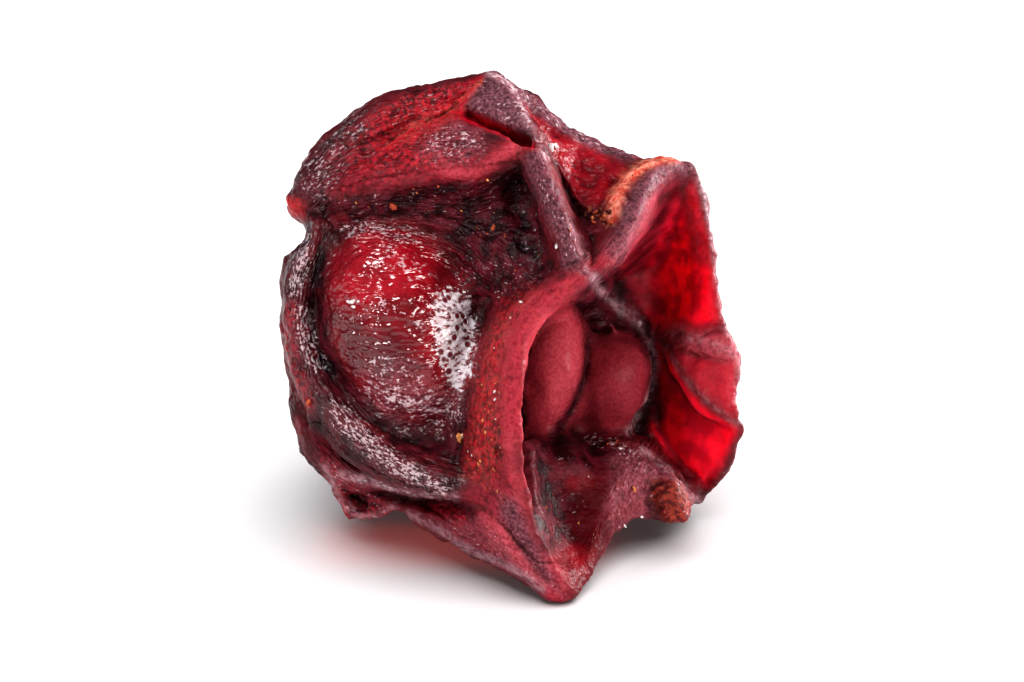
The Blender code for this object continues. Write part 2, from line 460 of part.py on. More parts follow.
def flat_feet(body):
    """Cuts the lowest points flat, sets the origin under the middle and turns millimetres to metres."""
    everything = body.verts[:] + body.edges[:] + body.faces[:]
    cut = bmesh.ops.bisect_plane(body, geom=everything, plane_co=(0, 0, FLOOR), plane_no=(0, 0, -1), clear_outer=True)
    edges = [e for e in cut["geom_cut"] if isinstance(e, bmesh.types.BMEdge)]
    bmesh.ops.edgenet_fill(body, edges=edges)
    bmesh.ops.triangulate(body, faces=body.faces[:])
    bmesh.ops.recalc_face_normals(body, faces=body.faces[:])
    places = np.array([v.co for v in body.verts])
    middle = (places.min(axis=0) + places.max(axis=0)) / 2
    bmesh.ops.translate(body, vec=(-middle[0], -middle[1], -FLOOR), verts=body.verts[:])
    bmesh.ops.scale(body, vec=(MM, MM, MM), verts=body.verts[:])


def dried_skin():
    """The colour of the skin as a whole: deep wine red, half glossy."""
    skin = bpy.data.materials.new("dried skin")
    skin.use_nodes = True
    surface = skin.node_tree.nodes["Principled BSDF"]
    surface.inputs["Base Color"].default_value = (0.16, 0.012, 0.018, 1)
    surface.inputs["Roughness"].default_value = 0.42
    surface.inputs["Metallic"].default_value = 0
    return skin


def main():
    for old in list(bpy.data.objects):
        bpy.data.objects.remove(old)
    body = bmesh.new()
    for build in (flesh, seeds, mouth, right_wall, lower_lip, bottom_flange, left_folds, crown, finger, tent, nub):
        build(body)
    berry = fused(body)
    body.free()
    settle(berry, keep_outer_skin)
    settle(berry, crumpled)
    thin = berry.modifiers.new("fewer faces", "DECIMATE")
    thin.ratio = TRIANGLES / (2 * len(berry.data.polygons))
    settle(berry, flat_feet)
    berry.data.materials.append(dried_skin())


main()
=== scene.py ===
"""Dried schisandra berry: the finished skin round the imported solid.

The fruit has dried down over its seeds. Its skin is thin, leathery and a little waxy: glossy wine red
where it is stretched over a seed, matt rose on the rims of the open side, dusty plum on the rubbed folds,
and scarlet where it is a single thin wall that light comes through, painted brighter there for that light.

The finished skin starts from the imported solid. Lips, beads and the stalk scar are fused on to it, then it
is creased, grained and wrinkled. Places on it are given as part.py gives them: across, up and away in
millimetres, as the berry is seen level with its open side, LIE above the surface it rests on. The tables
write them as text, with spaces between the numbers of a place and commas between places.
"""

import math

import bmesh
import bpy
import numpy as np
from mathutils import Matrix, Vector, noise
from mathutils.bvhtree import BVHTree


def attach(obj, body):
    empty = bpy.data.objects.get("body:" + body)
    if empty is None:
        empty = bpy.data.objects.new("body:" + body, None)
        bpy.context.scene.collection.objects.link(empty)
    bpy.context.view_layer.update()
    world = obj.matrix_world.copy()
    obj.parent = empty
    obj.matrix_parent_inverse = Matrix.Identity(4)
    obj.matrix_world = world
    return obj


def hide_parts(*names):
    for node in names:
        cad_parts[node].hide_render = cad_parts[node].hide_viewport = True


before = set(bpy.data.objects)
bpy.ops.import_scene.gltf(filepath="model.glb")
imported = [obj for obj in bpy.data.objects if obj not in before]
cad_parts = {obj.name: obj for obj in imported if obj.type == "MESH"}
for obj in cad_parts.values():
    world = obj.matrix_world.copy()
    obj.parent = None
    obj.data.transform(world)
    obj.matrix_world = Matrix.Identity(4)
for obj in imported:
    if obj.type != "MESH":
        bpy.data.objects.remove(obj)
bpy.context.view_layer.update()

MM = 0.001
LIE = math.radians(22)
ORIGIN = np.array((-0.0587, 0.0970, -2.93))   # the part's origin in the berry's own millimetres

# Meshing, in millimetres
FIRST_MESH = 0.06       # spacing of the evened copy of the solid
FINE_MESH = 0.052       # spacing of the finished skin
MOST_FACES = 196000     # triangles of the finished skin
SOLID_ROUNDS = 14       # rounds of smoothing that take the facets off the evened solid
SKIN_ROUNDS = 6         # and off the skin with its lips
ROPE_SIDES = 10
BEAD_POINTS, FILL_POINTS, LINE_POINTS = 8, 6, 14    # points of a curve to each place of its line

# Relief, in millimetres
CREASE_DEPTH = 0.5      # how far before and behind its line a crease still presses
GRAIN_DEPTH = 0.9       # the same for grain
GRAIN_END = 0.06        # how fast grain fades past the ends of its line, in square millimetres
FLAT_DEPTH = 0.35       # how far from its plane a flat facet still draws the skin
FLAT_EDGE = 0.07        # softness of a flat facet's edge
LEVEL_HEIGHT = 0.12     # nothing is raised below this height, so that the berry rests as the solid does
SCOOP_AWAY = -0.2       # the scoop's steep wall is finished as if seen, up to this far away
TURNED = -0.05          # skin counts as facing the eye down to this share
RAY_START = 0.03        # how far off the skin a ray towards the eye starts
RAY_REACH = 20          # and how far it goes
THIN_WALL = 0.3         # a wall up to this thick is thin all through
FLESH = 0.95            # and from this thickness on it is flesh
CREASE_ROUNDS = 5       # rounds of smoothing that take the creases off
FOLD_ROUNDS = 60        # and the folds
FAINT = 0.02            # a mask weaker than this is left out
FAINT_GRAIN = 0.03      # the same for grain and strewn crumbs

# The picture
FRAME_HEIGHT = 10.3     # millimetres of subject from the picture's bottom to its top
LENS = 100
SENSOR = 36
PICTURE = (1024, 682)
AIM = (-0.03, -0.12, -0.5)


# Places

def seen(across, up, away):
    """A point as the eye sees it, in the berry's own axes."""
    back = away * math.cos(LIE) + up * math.sin(LIE)
    height = up * math.cos(LIE) - away * math.sin(LIE)
    return Vector((across, back, height))


AWAY = np.array(seen(0, 0, 1))


def seen_back(points):
    """The inverse of seen(), for an array of points."""
    across, back, height = points.T
    up = back * math.sin(LIE) + height * math.cos(LIE)
    away = back * math.cos(LIE) - height * math.sin(LIE)
    return np.stack([across, up, away], axis=1)


def rows(text):
    """The numbers of a line, an outline or a table written as text, one row to a place."""
    return np.array([place.split() for place in text.split(",")], float)


def spline(line, each):
    """A Catmull-Rom curve through a line's places, ends included, with each as many places as the line."""
    points = rows(line)
    knots = np.concatenate([points[:1], points, points[-1:]])
    made = []
    for place in np.linspace(0, len(points) - 1, each * len(points)):
        start = min(int(place), len(points) - 2)
        t = place - start
        a, b, c, d = knots[start:start + 4]
        made.append(0.5 * (2 * b + (c - a) * t + (2 * a - 5 * b + 4 * c - d) * t * t
                           + (3 * b - a - 3 * c + d) * t ** 3))
    return np.array(made)


def step(value, start, end):
    """0 below start, 1 above end, smooth between."""
    t = np.clip((value - start) / (end - start), 0, 1)
    return t * t * (3 - 2 * t)


# Lips and beads: a rounded edge laid on the skin, as its radius, how far it stands proud, and its line

BEADS = (
    # the cup's near rim, from the top right down to the front foot
    (0.085, 0.02, "2.45 2.52 -1, 2 2.32 -1.5, 1.8 1.75 -2, 1.5 1.15 -2.4, 1.05 .72 -2.7, .45 .38 -2.8, .14 -.1 -2.8, "
     ".06 -.7 -2.78, .08 -1.4 -2.7, .15 -2.1 -2.6, .35 -2.9 -2.45, .8 -3.87 -2.05"),
    # the skyline over the hollow panel
    (0.075, 0.02, "-.35 3.9 .1, .05 3.68 .25, .45 3.4 .35, .85 3.08 .4, 1.25 2.86 .3, 1.65 2.68 .1, 2 2.55 -.2"),
    # the tent's right edge and its lower edge over the slit
    (0.05, 0.03, "-.42 3.95 -0, -.06 3.7 -.3, .16 3.28 -.8, .33 2.85 -1.3, .45 2.55 -1.6"),
    (0.05, 0.03, "-.74 3.42 -.7, -.42 3.26 -1, -.08 3.06 -1.25, .28 2.86 -1.45"),
    # the brow
    (0.07, 0.02, "-2.65 2.15 -1, -2.2 2.22 -1.4, -1.6 2.22 -1.65, -1.1 2.34 -1.8, -.63 2.32 -1.9, -.28 2.48 -2, "
     ".04 2.72 -2"),
    # the finger fold's outer edge and its rounded end
    (0.08, 0.03, ".34 2.6 -2.2, .5 2.1 -2.5, .66 1.7 -2.6, .84 1.35 -2.75, .95 1.1 -2.75, .88 .92 -2.75"),
    # the orange edge of the cup's top
    (0.06, 0.03, "2.5 2.6 -1, 2.1 2.56 -1.1, 1.82 2.4 -1.3, 1.6 2.18 -1.65, 1.48 1.92 -1.95, 1.42 1.68 -2.1"),
    # the far wall's edge, down to its corner
    (0.06, 0, "2.45 2.5 -1, 2.74 2.25 -.9, 2.92 1.5 -.6, 3.03 .8 -.4, 3.14 .2 -.35, 3.35 -.4 -.45, 3.32 -1 -.55, "
     "3.38 -1.38 -.65"),
    # the far wall's lower edge, folded over the facet under it
    (0.07, 0.02, "2.2 .08 .6, 2.3 -.15 .35, 2.48 -.45 .05, 2.72 -.83 -.2, 3 -1.15 -.4, 3.36 -1.38 -.6"),
    # the lower facet's edges
    (0.05, 0, "3.38 -1.42 -.3, 3.26 -1.85 0, 2.95 -2.33 .3, 2.78 -2.6 .5"),
    (0.05, 0.02, "2.1 -1.5 .5, 2.3 -1.85 .35, 2.6 -2.15 .35, 2.9 -2.45 .4"),
    # the saddle's edges
    (0.06, 0.02, "1.45 -1.85 -.4, 1.44 -2.15 -.7, 1.37 -2.6 -1, 1.4 -3 -1.1, 1.27 -3.4 -1.4, 1.08 -3.72 -1.8, "
     ".86 -3.9 -2"),
    (0.05, 0.02, "1.45 -1.72 -.3, 1.75 -1.68 -.3, 2.05 -1.78 -.2, 2.3 -2.1 0, 2.62 -2.42 .2"),
    # the bottom flange and the rim over its slit
    (0.05, 0, "-1.6 -2.74 -.5, -1.15 -2.94 -.75, -.62 -3.2 -1.1, 0 -3.44 -1.6, .65 -3.87 -1.95"),
    (0.055, 0.03, "-2.5 -2.16 -1.3, -2.15 -2.22 -1.4, -1.78 -2.34 -1.6, -1.32 -2.42 -1.7, -.86 -2.4 -1.8"),
    # the curled lobe's lip
    (0.055, 0.02, "-2.85 -2.1 -.5, -2.7 -2.45 -.5, -2.45 -2.7 -.55, -2.2 -2.8 -.6, -1.9 -2.74 -.7, -1.78 -2.6 -.8"),
    # the membrane round the right seed
    (0.032, 0.02, "1.1 .45 -.1, 1.44 .22 -.3, 1.8 .1 -.1, 2.1 -.2 .1, 2.17 -.7 .1, 2.03 -1.15 .1, 1.8 -1.48 0, "
     "1.4 -1.62 0, .95 -1.58 .1"),
    # the groove's two banks on the cap
    (0.05, 0.01, "-.55 3.9 -.1, -1 3.5 -.5, -1.5 3.32 -.5, -2 3.02 -.5, -2.4 2.7 -.6"),
    (0.05, 0.01, "-.72 3.42 -.6, -1.1 3.02 -.7, -1.5 2.85 -.8, -2 2.55 -.9"),
)

# Places filled with flesh before the lips go on: radius and line
FILLS = (
    (0.26, "-.75 3.42 -.35, -.4 3.2 -.7, 0 3 -.9, .35 2.8 -1.1"),
    (0.24, "1.12 .45 .35, 1.2 .3 .5, 1.35 .1 .6"),
    (0.15, "1 .62 -1, 1.14 .6 -.5, 1.27 .62 -.15, 1.42 .78 -.35"),
    (0.15, "-3.02 1.4 -.75, -2.95 1.75 -.55, -2.75 2.1 -.45"),
    (0.18, "-2.7 2.2 -.5, -3 2 -.4, -3.27 1.86 -.35"),
    (0.15, "-2.15 -2.5 -.55, -1.75 -2.52 -.6, -1.35 -2.6 -.75"),
    (0.19, "2.28 -2.25 -.72, 2.33 -2.5 -.84, 2.4 -2.72 -.8"),
)

# Swells of the skin, and dents where the height is below 0: height, radius, and the place's three numbers
SWELLS = ("-.26 .24 -3.3 1.5 -.8, -.12 .22 -3.25 -.75 -.6, .06 .3 -3.3 .2 -.6, .14 .45 .55 -.55 -.7, "
        ".12 .35 .75 .15 -.6, .08 .4 1.55 -.7 -.4, .05 .15 .42 2.15 -2.25, -.06 .12 .58 1.8 -2.4, "
        ".05 .14 .74 1.45 -2.5")

# Places drawn out or in at any depth: across, up, the shift right and up, and its radius
PULLS = ("-.42 3.95 0 .13 .35, 1.1 2.95 .02 .08 .4, 1.75 2.65 .03 .12 .4, 2.55 2.5 .05 .12 .4, 3.35 -.4 .09 0 .45, "
        "3.4 -1.4 .07 0 .35, 3.1 -2.1 .11 -.07 .4, 2.75 -2.55 .1 -.12 .4, 1.95 -2.8 0 -.12 .4, 1.5 -3.05 .03 -.1 .3, "
        "-2.55 -2.7 -.1 -.12 .45, -3 2.85 -.07 .05 .5, -2 3.55 -.03 .07 .5, -1.4 3.7 0 .06 .4, "
        "-3.35 1.92 -.1 .02 .25, -3.2 2.45 -.08 0 .35, -3.35 1.47 .27 0 .26")

# Flat facets of the skin: an outline as seen, and three places of its plane
FLATS = (
    ("-.42 3.92, -.08 3.68, .14 3.25, .3 2.92, -.02 3.06, -.4 3.27, -.7 3.42",
     "-.42 3.85 -.33, .3 2.9 -1.4, -.72 3.4 -.66"),
    ("2.3 -.45, 2.6 -.85, 2.9 -1.2, 3.3 -1.5, 3.1 -2, 2.9 -2.25, 2.42 -1.85, 2.2 -1.5, 2.22 -.9",
     "2.3 -.6 .76, 3.25 -1.5 -.12, 2.75 -2.2 .38"),
)

# Creases pressed into the skin, away from the eye: depth, half width and line. A depth below 0 is a ridge.
CREASES = (
    (0.6, 0.13, "-.78 3.34 -.8, -.4 3.1 -1.2, -.02 2.89 -1.4, .28 2.75 -1.6"),
    (0.13, 0.05, "-.56 3.8 -.2, -.9 3.42 -.5, -1.25 3.17 -.5, -1.65 3.02 -.6, -1.95 2.8 -.7"),
    (0.07, 0.04, "-1 3.3 -.5, -1.5 3.2 -.5, -1.9 3 -.5, -2.4 2.85 -.5"),
    (0.55, 0.13, ".1 2.3 -2.1, .24 1.9 -2.3, .34 1.55 -2.45, .44 1.25 -2.5, .55 1.05 -2.5"),
    (0.75, 0.17, ".62 2.5 -1.6, .77 2.12 -1.9, .93 1.78 -2.2, 1.1 1.45 -2.4"),
    (0.12, 0.06, "1.08 1.5 -2.2, 1.17 1.2 -2.3, 1.08 .92 -2.5"),
    (0.28, 0.11, "1.72 2.2 -1.4, 1.5 2.22 -1.5, 1.38 2.02 -1.7, 1.3 1.75 -1.9"),
    (0.06, 0.09, "-3.5 .55 -.7, -3.2 .5 -.9, -2.9 .42 -.9"),
    (0.05, 0.08, "-3.4 -.45 -.7, -3.1 -.5 -1, -2.8 -.35 -1"),
    (0.05, 0.06, "-3.15 -.75 -1, -2.8 -1.3 -1.3, -2.35 -1.75 -1.5, -1.75 -2.12 -1.7, -1.2 -2.32 -1.8"),
    (-0.04, 0.05, "-2.9 -.75 -1.2, -2.5 -1.2 -1.4, -2 -1.62 -1.6, -1.4 -1.95 -1.7"),
    (0.1, 0.09, "-2.85 1.45 -.8, -2.98 .7 -.8, -2.93 -.1 -.8, -2.6 -.8 -1, -2.05 -1.38 -1.3, -1.4 -1.76 -1.5, "
     "-.85 -1.92 -1.6"),
    (0.14, 0.06, "-.33 .5 -1.6, -.5 -.1 -1.5, -.62 -.8 -1.5, -.74 -1.5 -1.5, -.84 -2 -1.6"),
    (0.35, 0.06, "-2.1 -2.4 -.9, -1.7 -2.5 -1, -1.3 -2.56 -1.1, -.95 -2.58 -1.3, -.65 -2.58 -1.6"),
    (0.18, 0.07, "-2.6 -2.3 -.6, -2.35 -2.5 -.6, -2 -2.6 -.6"),
    (0.12, 0.05, "1.02 .42 -.5, 1.12 -.1 -.7, 1.06 -.6 -.7, .86 -1.2 -.6, .5 -1.65 -.3"),
    (0.1, 0.06, "2.36 -.22 .4, 2.56 -.62 .15, 2.88 -1.08 0, 3.25 -1.42 -.2"),
    (0.1, 0.07, "-1.9 2.02 -1, -1.3 2.03 -1.2, -.7 2.03 -1.3, -.25 2.12 -1.4"),
    (0.05, 0.06, "1 1.02 -2.5, .55 .68 -2.6, .1 .35 -2.6, -.14 -.3 -2.55, -.22 -1.1 -2.5, -.2 -1.9 -2.4, "
     "-.02 -2.5 -2.3"),
    (0.07, 0.05, "-.6 -2.5 -1.7, -.25 -2.7 -1.9, .05 -3.05 -2.1, .4 -3.5 -2.1"),
    (-0.05, 0.05, "-.5 -2.45 -1.7, -.3 -2.2 -1.9, -.15 -1.9 -2.1, -.1 -1.5 -2.3"),
    (0.06, 0.05, "-2.2 1.6 -.9, -1.6 1.55 -1, -1 1.42 -1.2, -.6 1.05 -1.3"),
    (-0.05, 0.04, "-2.3 1.82 -.9, -1.8 1.88 -1, -1.2 1.85 -1.2, -.6 1.8 -1.3, -.1 1.95 -1.5"),
    (-0.05, 0.04, "-1.9 1.66 -.9, -1.3 1.6 -1, -.8 1.4 -1.2, -.4 1.1 -1.3, -.1 .9 -1.5"),
    (-0.04, 0.04, "-1.3 1.75 -1, -.9 1.62 -1.2, -.5 1.35 -1.3, -.2 1.25 -1.5"),
    (0.05, 0.05, "2.3 2.2 -.4, 2.4 1.8 0, 2.6 1.3 .2, 2.75 .8 .2"),
    (-0.06, 0.08, "2.35 .12 .3, 2.62 .02 0, 2.9 -.1 -.3, 3.2 -.25 -.5"),
    (0.05, 0.06, "2.5 -.2 .1, 2.8 -.35 -.3, 3.2 -.45 -.5"),
)

# Grain: short ridges that run along a fold. Height, reach to each side, length and breadth of a ridge, and line
GRAINS = (
    (0.05, 0.36, 0.45, 0.085, "-3 1.5 -.9, -3.2 .9 -.9, -3.27 .3 -.9, -3.2 -.2 -1, -3 -.75 -1.1, -2.65 -1.2 -1.3, "
     "-2.15 -1.65 -1.5, -1.55 -2 -1.7, -.97 -2.18 -1.8"),
    (0.04, 0.25, 0.45, 0.085, "-2.9 -1.5 -1, -2.5 -1.95 -1.3, -1.9 -2.25 -1.5, -1.2 -2.4 -1.7"),
    (0.02, 0.22, 0.6, 0.1, "1.6 1.6 -2, 1.1 .95 -2.3, .4 .5 -2.4, -.1 -.1 -2.2, -.3 -.9 -2.1, -.3 -1.7 -2.1, "
     "-.1 -2.4 -2.1, .4 -3.2 -2.1"),
    (0.03, 0.25, 0.4, 0.08, ".35 2.5 -2, .5 2 -2.3, .68 1.6 -2.5, .8 1.2 -2.6"),
    (0.036, 0.32, 0.42, 0.085, "-3 2.45 -.3, -2.5 2.95 -.4, -2 3.25 -.4, -1.4 3.48 -.3, -.8 3.68 -.2"),
    (0.034, 0.36, 0.38, 0.085, "-3 2.15 -.6, -2.5 2.45 -.8, -1.9 2.65 -.9, -1.3 2.8 -1.1, -.7 2.85 -1.3, "
     "-.2 2.8 -1.5"),
    (0.036, 0.36, 0.34, 0.085, "-2.6 1.85 -.9, -2 1.95 -1, -1.3 1.95 -1.1, -.6 1.95 -1.3, -.1 2.15 -1.5"),
    (0.036, 0.4, 0.34, 0.085, "-2.2 1.6 -.9, -1.4 1.5 -1, -.8 1.3 -1.2, -.35 .95 -1.3, .1 .8 -1.6"),
    (0.024, 0.35, 0.5, 0.1, "-1.4 -2.8 -.8, -.8 -3 -1.2, -.2 -3.2 -1.7, .4 -3.6 -1.9"),
    (0.018, 0.35, 0.4, 0.09, "2.1 -1.75 .1, 1.8 -2.1 -.4, 1.6 -2.6 -.8, 1.3 -3.2 -1.3"),
)

# Outlines of areas as the eye sees them, across and up
DOME = ("-2.75 1.2, -2.4 1.6, -1.8 1.72, -1.2 1.5, -.85 .9, -.6 .3, -.58 -.4, -.72 -1, -1.05 -1.5, -1.6 -1.45, "
        "-2.1 -1.15, -2.5 -.65, -2.78 0, -2.88 .6")
# the patch that carries a painted white highlight broken by pits
PITTED = "-1.3 .55, -.95 .75, -.6 .5, -.5 0, -.55 -.6, -.8 -.95, -1.1 -.7, -1.2 -.2"
RIPPLED = "-2.1 .3, -1.4 .6, -.9 .3, -.6 -.6, -.8 -1.2, -1.4 -1.2, -1.9 -.9, -2.3 -.3"
PANEL = "-.3 3.65, .4 3.25, 1 2.85, 1.65 2.52, 1.85 2.4, 1.5 2.2, 1.36 1.95, 1.1 1.86, .95 2, .65 2.5, .45 3, .1 3.45"
SCOOP = ".35 -1.75, 1.3 -1.85, 1.4 -2.5, 1.33 -3.1, 1.15 -3.6, .85 -3.85, .6 -3.5, .4 -2.9, .25 -2.2"
WALL = "2.35 2.45, 2.68 2.2, 2.88 1.5, 3 .8, 3.1 .2, 2.7 0, 2.3 .05, 2.05 .3, 1.6 .95, 1.65 1.35, 1.9 1.9"
UNDER_SHELF = "2.45 -.3, 2.9 -.4, 3.35 -.45, 3.3 -1.3, 2.9 -.95, 2.6 -.6"
FACET = "2.2 -.15, 2.35 -.3, 2.55 -.7, 2.85 -1.08, 3.4 -1.45, 3.18 -2, 2.94 -2.36, 2.36 -1.85, 2.12 -1.45, 2.2 -.8"
LEFT_SEED = ".12 .1, .45 .42, .85 .45, 1.05 .1, 1.05 -.5, .85 -1.1, .45 -1.6, .15 -1.8"
RIGHT_SEED = "1.15 .05, 1.5 .1, 1.85 -.05, 2.08 -.5, 2 -1.1, 1.7 -1.5, 1.2 -1.6, .85 -1.4, 1.05 -.7"
SADDLE = "1.45 -1.75, 2 -1.7, 2.3 -2.05, 2.8 -2.6, 2.5 -2.85, 1.9 -2.85, 1.45 -3.05, 1.35 -2.6, 1.45 -2.2"
RECESS = ("-2.7 2, -2.1 2.1, -1.2 2.2, -.5 2.2, -.05 2.5, .3 2.1, .4 1.4, .5 .9, .1 .6, -.4 .5, -.7 .9, -1.1 1.5, "
        "-1.8 1.75, -2.4 1.7")
CAP = "-2.9 2.2, -2.9 2.6, -2.3 3.2, -1.5 3.65, -.7 3.8, -.7 3.4, -1 3, -.5 2.5, -1.1 2.4, -1.8 2.3, -2.4 2.25"
BULGE = "-1.3 2.95, -.95 3.15, -.55 3, -.4 2.7, -.7 2.5, -1.1 2.5, -1.4 2.65"
FLAME = "-2 2.75, -1.8 3.15, -1.2 3.35, -.7 3.6, -.75 3.35, -1 3.05, -1.4 2.85"
TENT = "-.4 3.95, -.05 3.72, .18 3.25, .35 2.86, 0 3, -.4 3.22, -.75 3.4"
SLIT = "-.85 3.38, -.4 3.22, 0 3, .35 2.8, .3 2.68, -.05 2.85, -.45 3.05, -.8 3.2"
LOW_FACET = "-.85 -2.35, -.3 -2.1, 0 -2.4, .3 -3.1, .7 -3.85, .2 -3.6, -.3 -2.9"
FLANGE = "-1.5 -2.72, -.8 -2.75, -.4 -2.75, 0 -3.1, .5 -3.7, 0 -3.48, -.6 -3.25, -1.15 -2.98"
CURL = "-2.9 -1.7, -2.5 -2.15, -1.75 -2.4, -1.75 -2.75, -2.2 -2.9, -2.6 -2.65, -2.85 -2.2"
SHOULDER = "-2.9 1.75, -3.12 2.05, -3.4 2.2, -3.35 2.4, -3.1 2.8, -2.6 3.3, -2.2 3.5, -2.2 3.1, -2.4 2.6, -2.6 2.2"
CORNER = "-3.5 2.1, -3.5 1.7, -3.2 1.72, -3.15 1.95"
TROUGH = "-.05 2.5, .15 2.45, .32 2.1, .42 1.6, .5 1.1, .1 .7, -.1 1"
RED_BAND = ".35 .62, .05 .25, -.12 -.3, -.2 -1, -.15 -1.8, -.3 -2.2, -.75 -2.1, -.65 -1.4, -.55 -.8, -.4 -.2, -.2 .3"
LOW_PLUM = "-.2 -2.35, .05 -2.4, .25 -2.9, .45 -3.3, .75 -3.85, .4 -3.6, .05 -3.1, -.2 -2.7"
STALK = "2.05 -2.2, 2.5 -2.2, 2.7 -2.6, 2.5 -2.95, 2.2 -2.85, 2.05 -2.5"
# the dome's lower part, where plum and pale flecks paint the purple reflection of the floor
LOW_DOME = "-2.3 -.55, -1.7 -.3, -1.1 -.7, -.75 -.8, -.75 -1.25, -1 -1.5, -1.6 -1.45, -2.1 -1.15"
# the dome's upper left: a painted brighter red where the light falls on it, laid on with scarlet
DOME_RED = "-2.65 1.1, -2.3 1.45, -1.7 1.4, -1.3 1.05, -1.45 .7, -1.9 .5, -2.3 .35, -2.65 .5"
WALL_LEFT = "1.55 1.05, 1.85 1.5, 2.05 1.2, 2.15 .75, 2.3 .35, 2.15 .2, 1.9 .4, 1.6 .8"
RECESS_LOW = "-1 1.3, -.5 1.15, .1 .9, .3 .65, -.1 .4, -.45 .45, -.8 .8"
OVAL_SHEEN = ".35 .2, .8 .3, 1 0, .95 -.6, .7 -1.1, .45 -1.2, .5 -.5"
PINK_FACET = "-.5 -2.62, -.2 -2.75, .2 -3.3, .5 -3.72, .1 -3.5, -.4 -3.1"
SADDLE_LOW = "1.6 -2.2, 2 -2.2, 2.05 -2.7, 1.6 -2.85, 1.45 -2.7"
HOLLOW_LOBE = "-2.5 -2.15, -2.1 -2.2, -1.75 -2.4, -1.9 -2.55, -2.3 -2.5"
DEEP = "1.2 .95, 1.55 1, 2 .4, 2.05 0, 1.5 .3, 1.1 .55, .8 .5"

# Lines painted along, across and up
RIM_LINE = "1.5 1.2, 1.22 .88, .72 .62, .28 .36, .02 -.08, -.04 -.7, -.02 -1.3, .04 -1.9, .12 -2.5, .3 -3.1, .62 -3.8"
RIM_TOP = "2.6 2.55, 2.25 2.5, 1.95 2.1, 1.75 1.6, 1.5 1.2"
ORANGE_EDGE = "2.45 2.66, 2.1 2.58, 1.8 2.4, 1.6 2.2, 1.47 1.95, 1.41 1.68"
GROOVE = "-.52 3.8, -.92 3.42, -1.3 3.18, -1.6 3.08, -1.9 2.82"
TENT_EDGE = "-.4 3.97, -.05 3.74, .17 3.25, .34 2.84, .46 2.55"
BROW = "-2.7 2.18, -2.2 2.24, -1.6 2.22, -1.1 2.36, -.63 2.33, -.28 2.5, .05 2.75"
SKYLINE = "-.3 3.9, .1 3.66, .5 3.36, .9 3.08, 1.3 2.88, 1.75 2.7"
FINGER = ".3 2.5, .45 2.1, .62 1.7, .78 1.35, .82 1.05"
LEFT_RIDGE = "-3 1.5, -3.2 .9, -3.27 .3, -3.2 -.2, -3 -.7, -2.65 -1.2, -2.15 -1.68, -1.55 -2.02, -.97 -2.2"
SHELF = "2.45 .02, 2.7 -.08, 3 -.18, 3.28 -.3"
OVERLAP = "2.3 -.2, 2.5 -.52, 2.8 -.95, 3.1 -1.2, 3.36 -1.38"
SEED_RIM = "1 .92, 1.45 .52, 1.9 .2, 2.14 -.25, 2.15 -.75, 2 -1.15, 1.75 -1.5"
# the wall's inner bevel, painted in shade
INNER_EDGE = "2.45 2.35, 2.28 2.05, 2.14 1.7, 1.98 1.3, 1.82 1, 1.6 .8"
SLIT_GLOW = "-1.25 -2.62, -1 -2.66, -.8 -2.72"
SLIT_RIM = "-2.6 -2.12, -2.15 -2.2, -1.78 -2.33, -1.32 -2.41, -.88 -2.42"
STREAK_RED = "-3.3 .35, -3.38 0, -3.2 -.7, -3.05 -1.05"
SCOOP_DARK = ".3 -1.8, .45 -2.2, .5 -2.6, .55 -2.9"
FACET_DARK = "2.15 -.75, 2.2 -1, 2.2 -1.3"
FOLD_LINE = "2.55 2.4, 2.6 2.1, 2.72 1.6, 2.88 1.1"
BROW_RIGHT = "-1 2.36, -.63 2.33, -.28 2.5, 0 2.72"
FINGER_SHADE = ".66 2.5, .8 2.1, .95 1.7, 1.08 1.4"
RIDGE_SHADE = "-2.88 1.15, -2.9 .6, -2.84 0, -2.52 -.7, -2.05 -1.2, -1.45 -1.62, -.9 -1.85"
# patches along the left ridge where pale bloom and painted glints gather
RIDGE_TOP = "-3.1 1.4, -3.17 1, -3.27 .62"
RIDGE_MIDDLE = "-3.12 .3, -3.08 -.1, -2.92 -.45"
RIDGE_LOW = "-2.6 -1.15, -2.25 -1.5, -1.85 -1.85"
RIDGE_END = "-1.8 -1.9, -1.4 -2.1, -1.05 -2.25"
# lines of painted glints across the dome
DOME_TOP = "-2.5 1.5, -2.1 1.55, -1.5 1.4"
DOME_RIGHT = "-1.9 1.2, -1.55 .98, -1.4 .85"
DOME_DASHES = "-2.1 .44, -1.8 .4, -1.5 .22, -1.25 .1"
DOME_LOW = "-2.1 -.85, -1.7 -1, -1.3 -1.1, -.85 -1.15"
SEED_GAP = "1.12 .5, 1.16 0, 1.08 -.6, .88 -1.1, .5 -1.62"
SEED_TOP = "1.2 .02, 1.5 .06, 1.85 -.05"
SCOOP_TOP = ".55 -1.85, .9 -1.95, 1.25 -1.9"
SADDLE_TOP = "1.2 -1.6, 1.5 -1.68, 1.75 -1.8"
SADDLE_FOLD = "1.95 -1.78, 2.3 -2.05, 2.62 -2.35, 2.85 -2.6"
LIP_LOW = ".02 -1.6, .1 -2.3, .25 -2.9, .45 -3.4"
LOW_BAND = "-.2 -.8, -.3 -1.3, -.25 -1.8, -.35 -2.2"
CURL_LIP = "-2.82 -2, -2.7 -2.42, -2.47 -2.68, -2.2 -2.78, -1.95 -2.74, -1.78 -2.58"
LOW_EDGE = "-1.6 -2.72, -1.09 -2.95, -.63 -3.22, -.05 -3.43, .41 -3.74"
STALK_EDGE = "2.08 -2.25, 2.08 -2.6, 2.2 -2.86"
WALL_EDGE = "2.78 2.3, 2.98 1.5, 3.1 .8, 3.2 .2, 3.4 -.4, 3.38 -1"

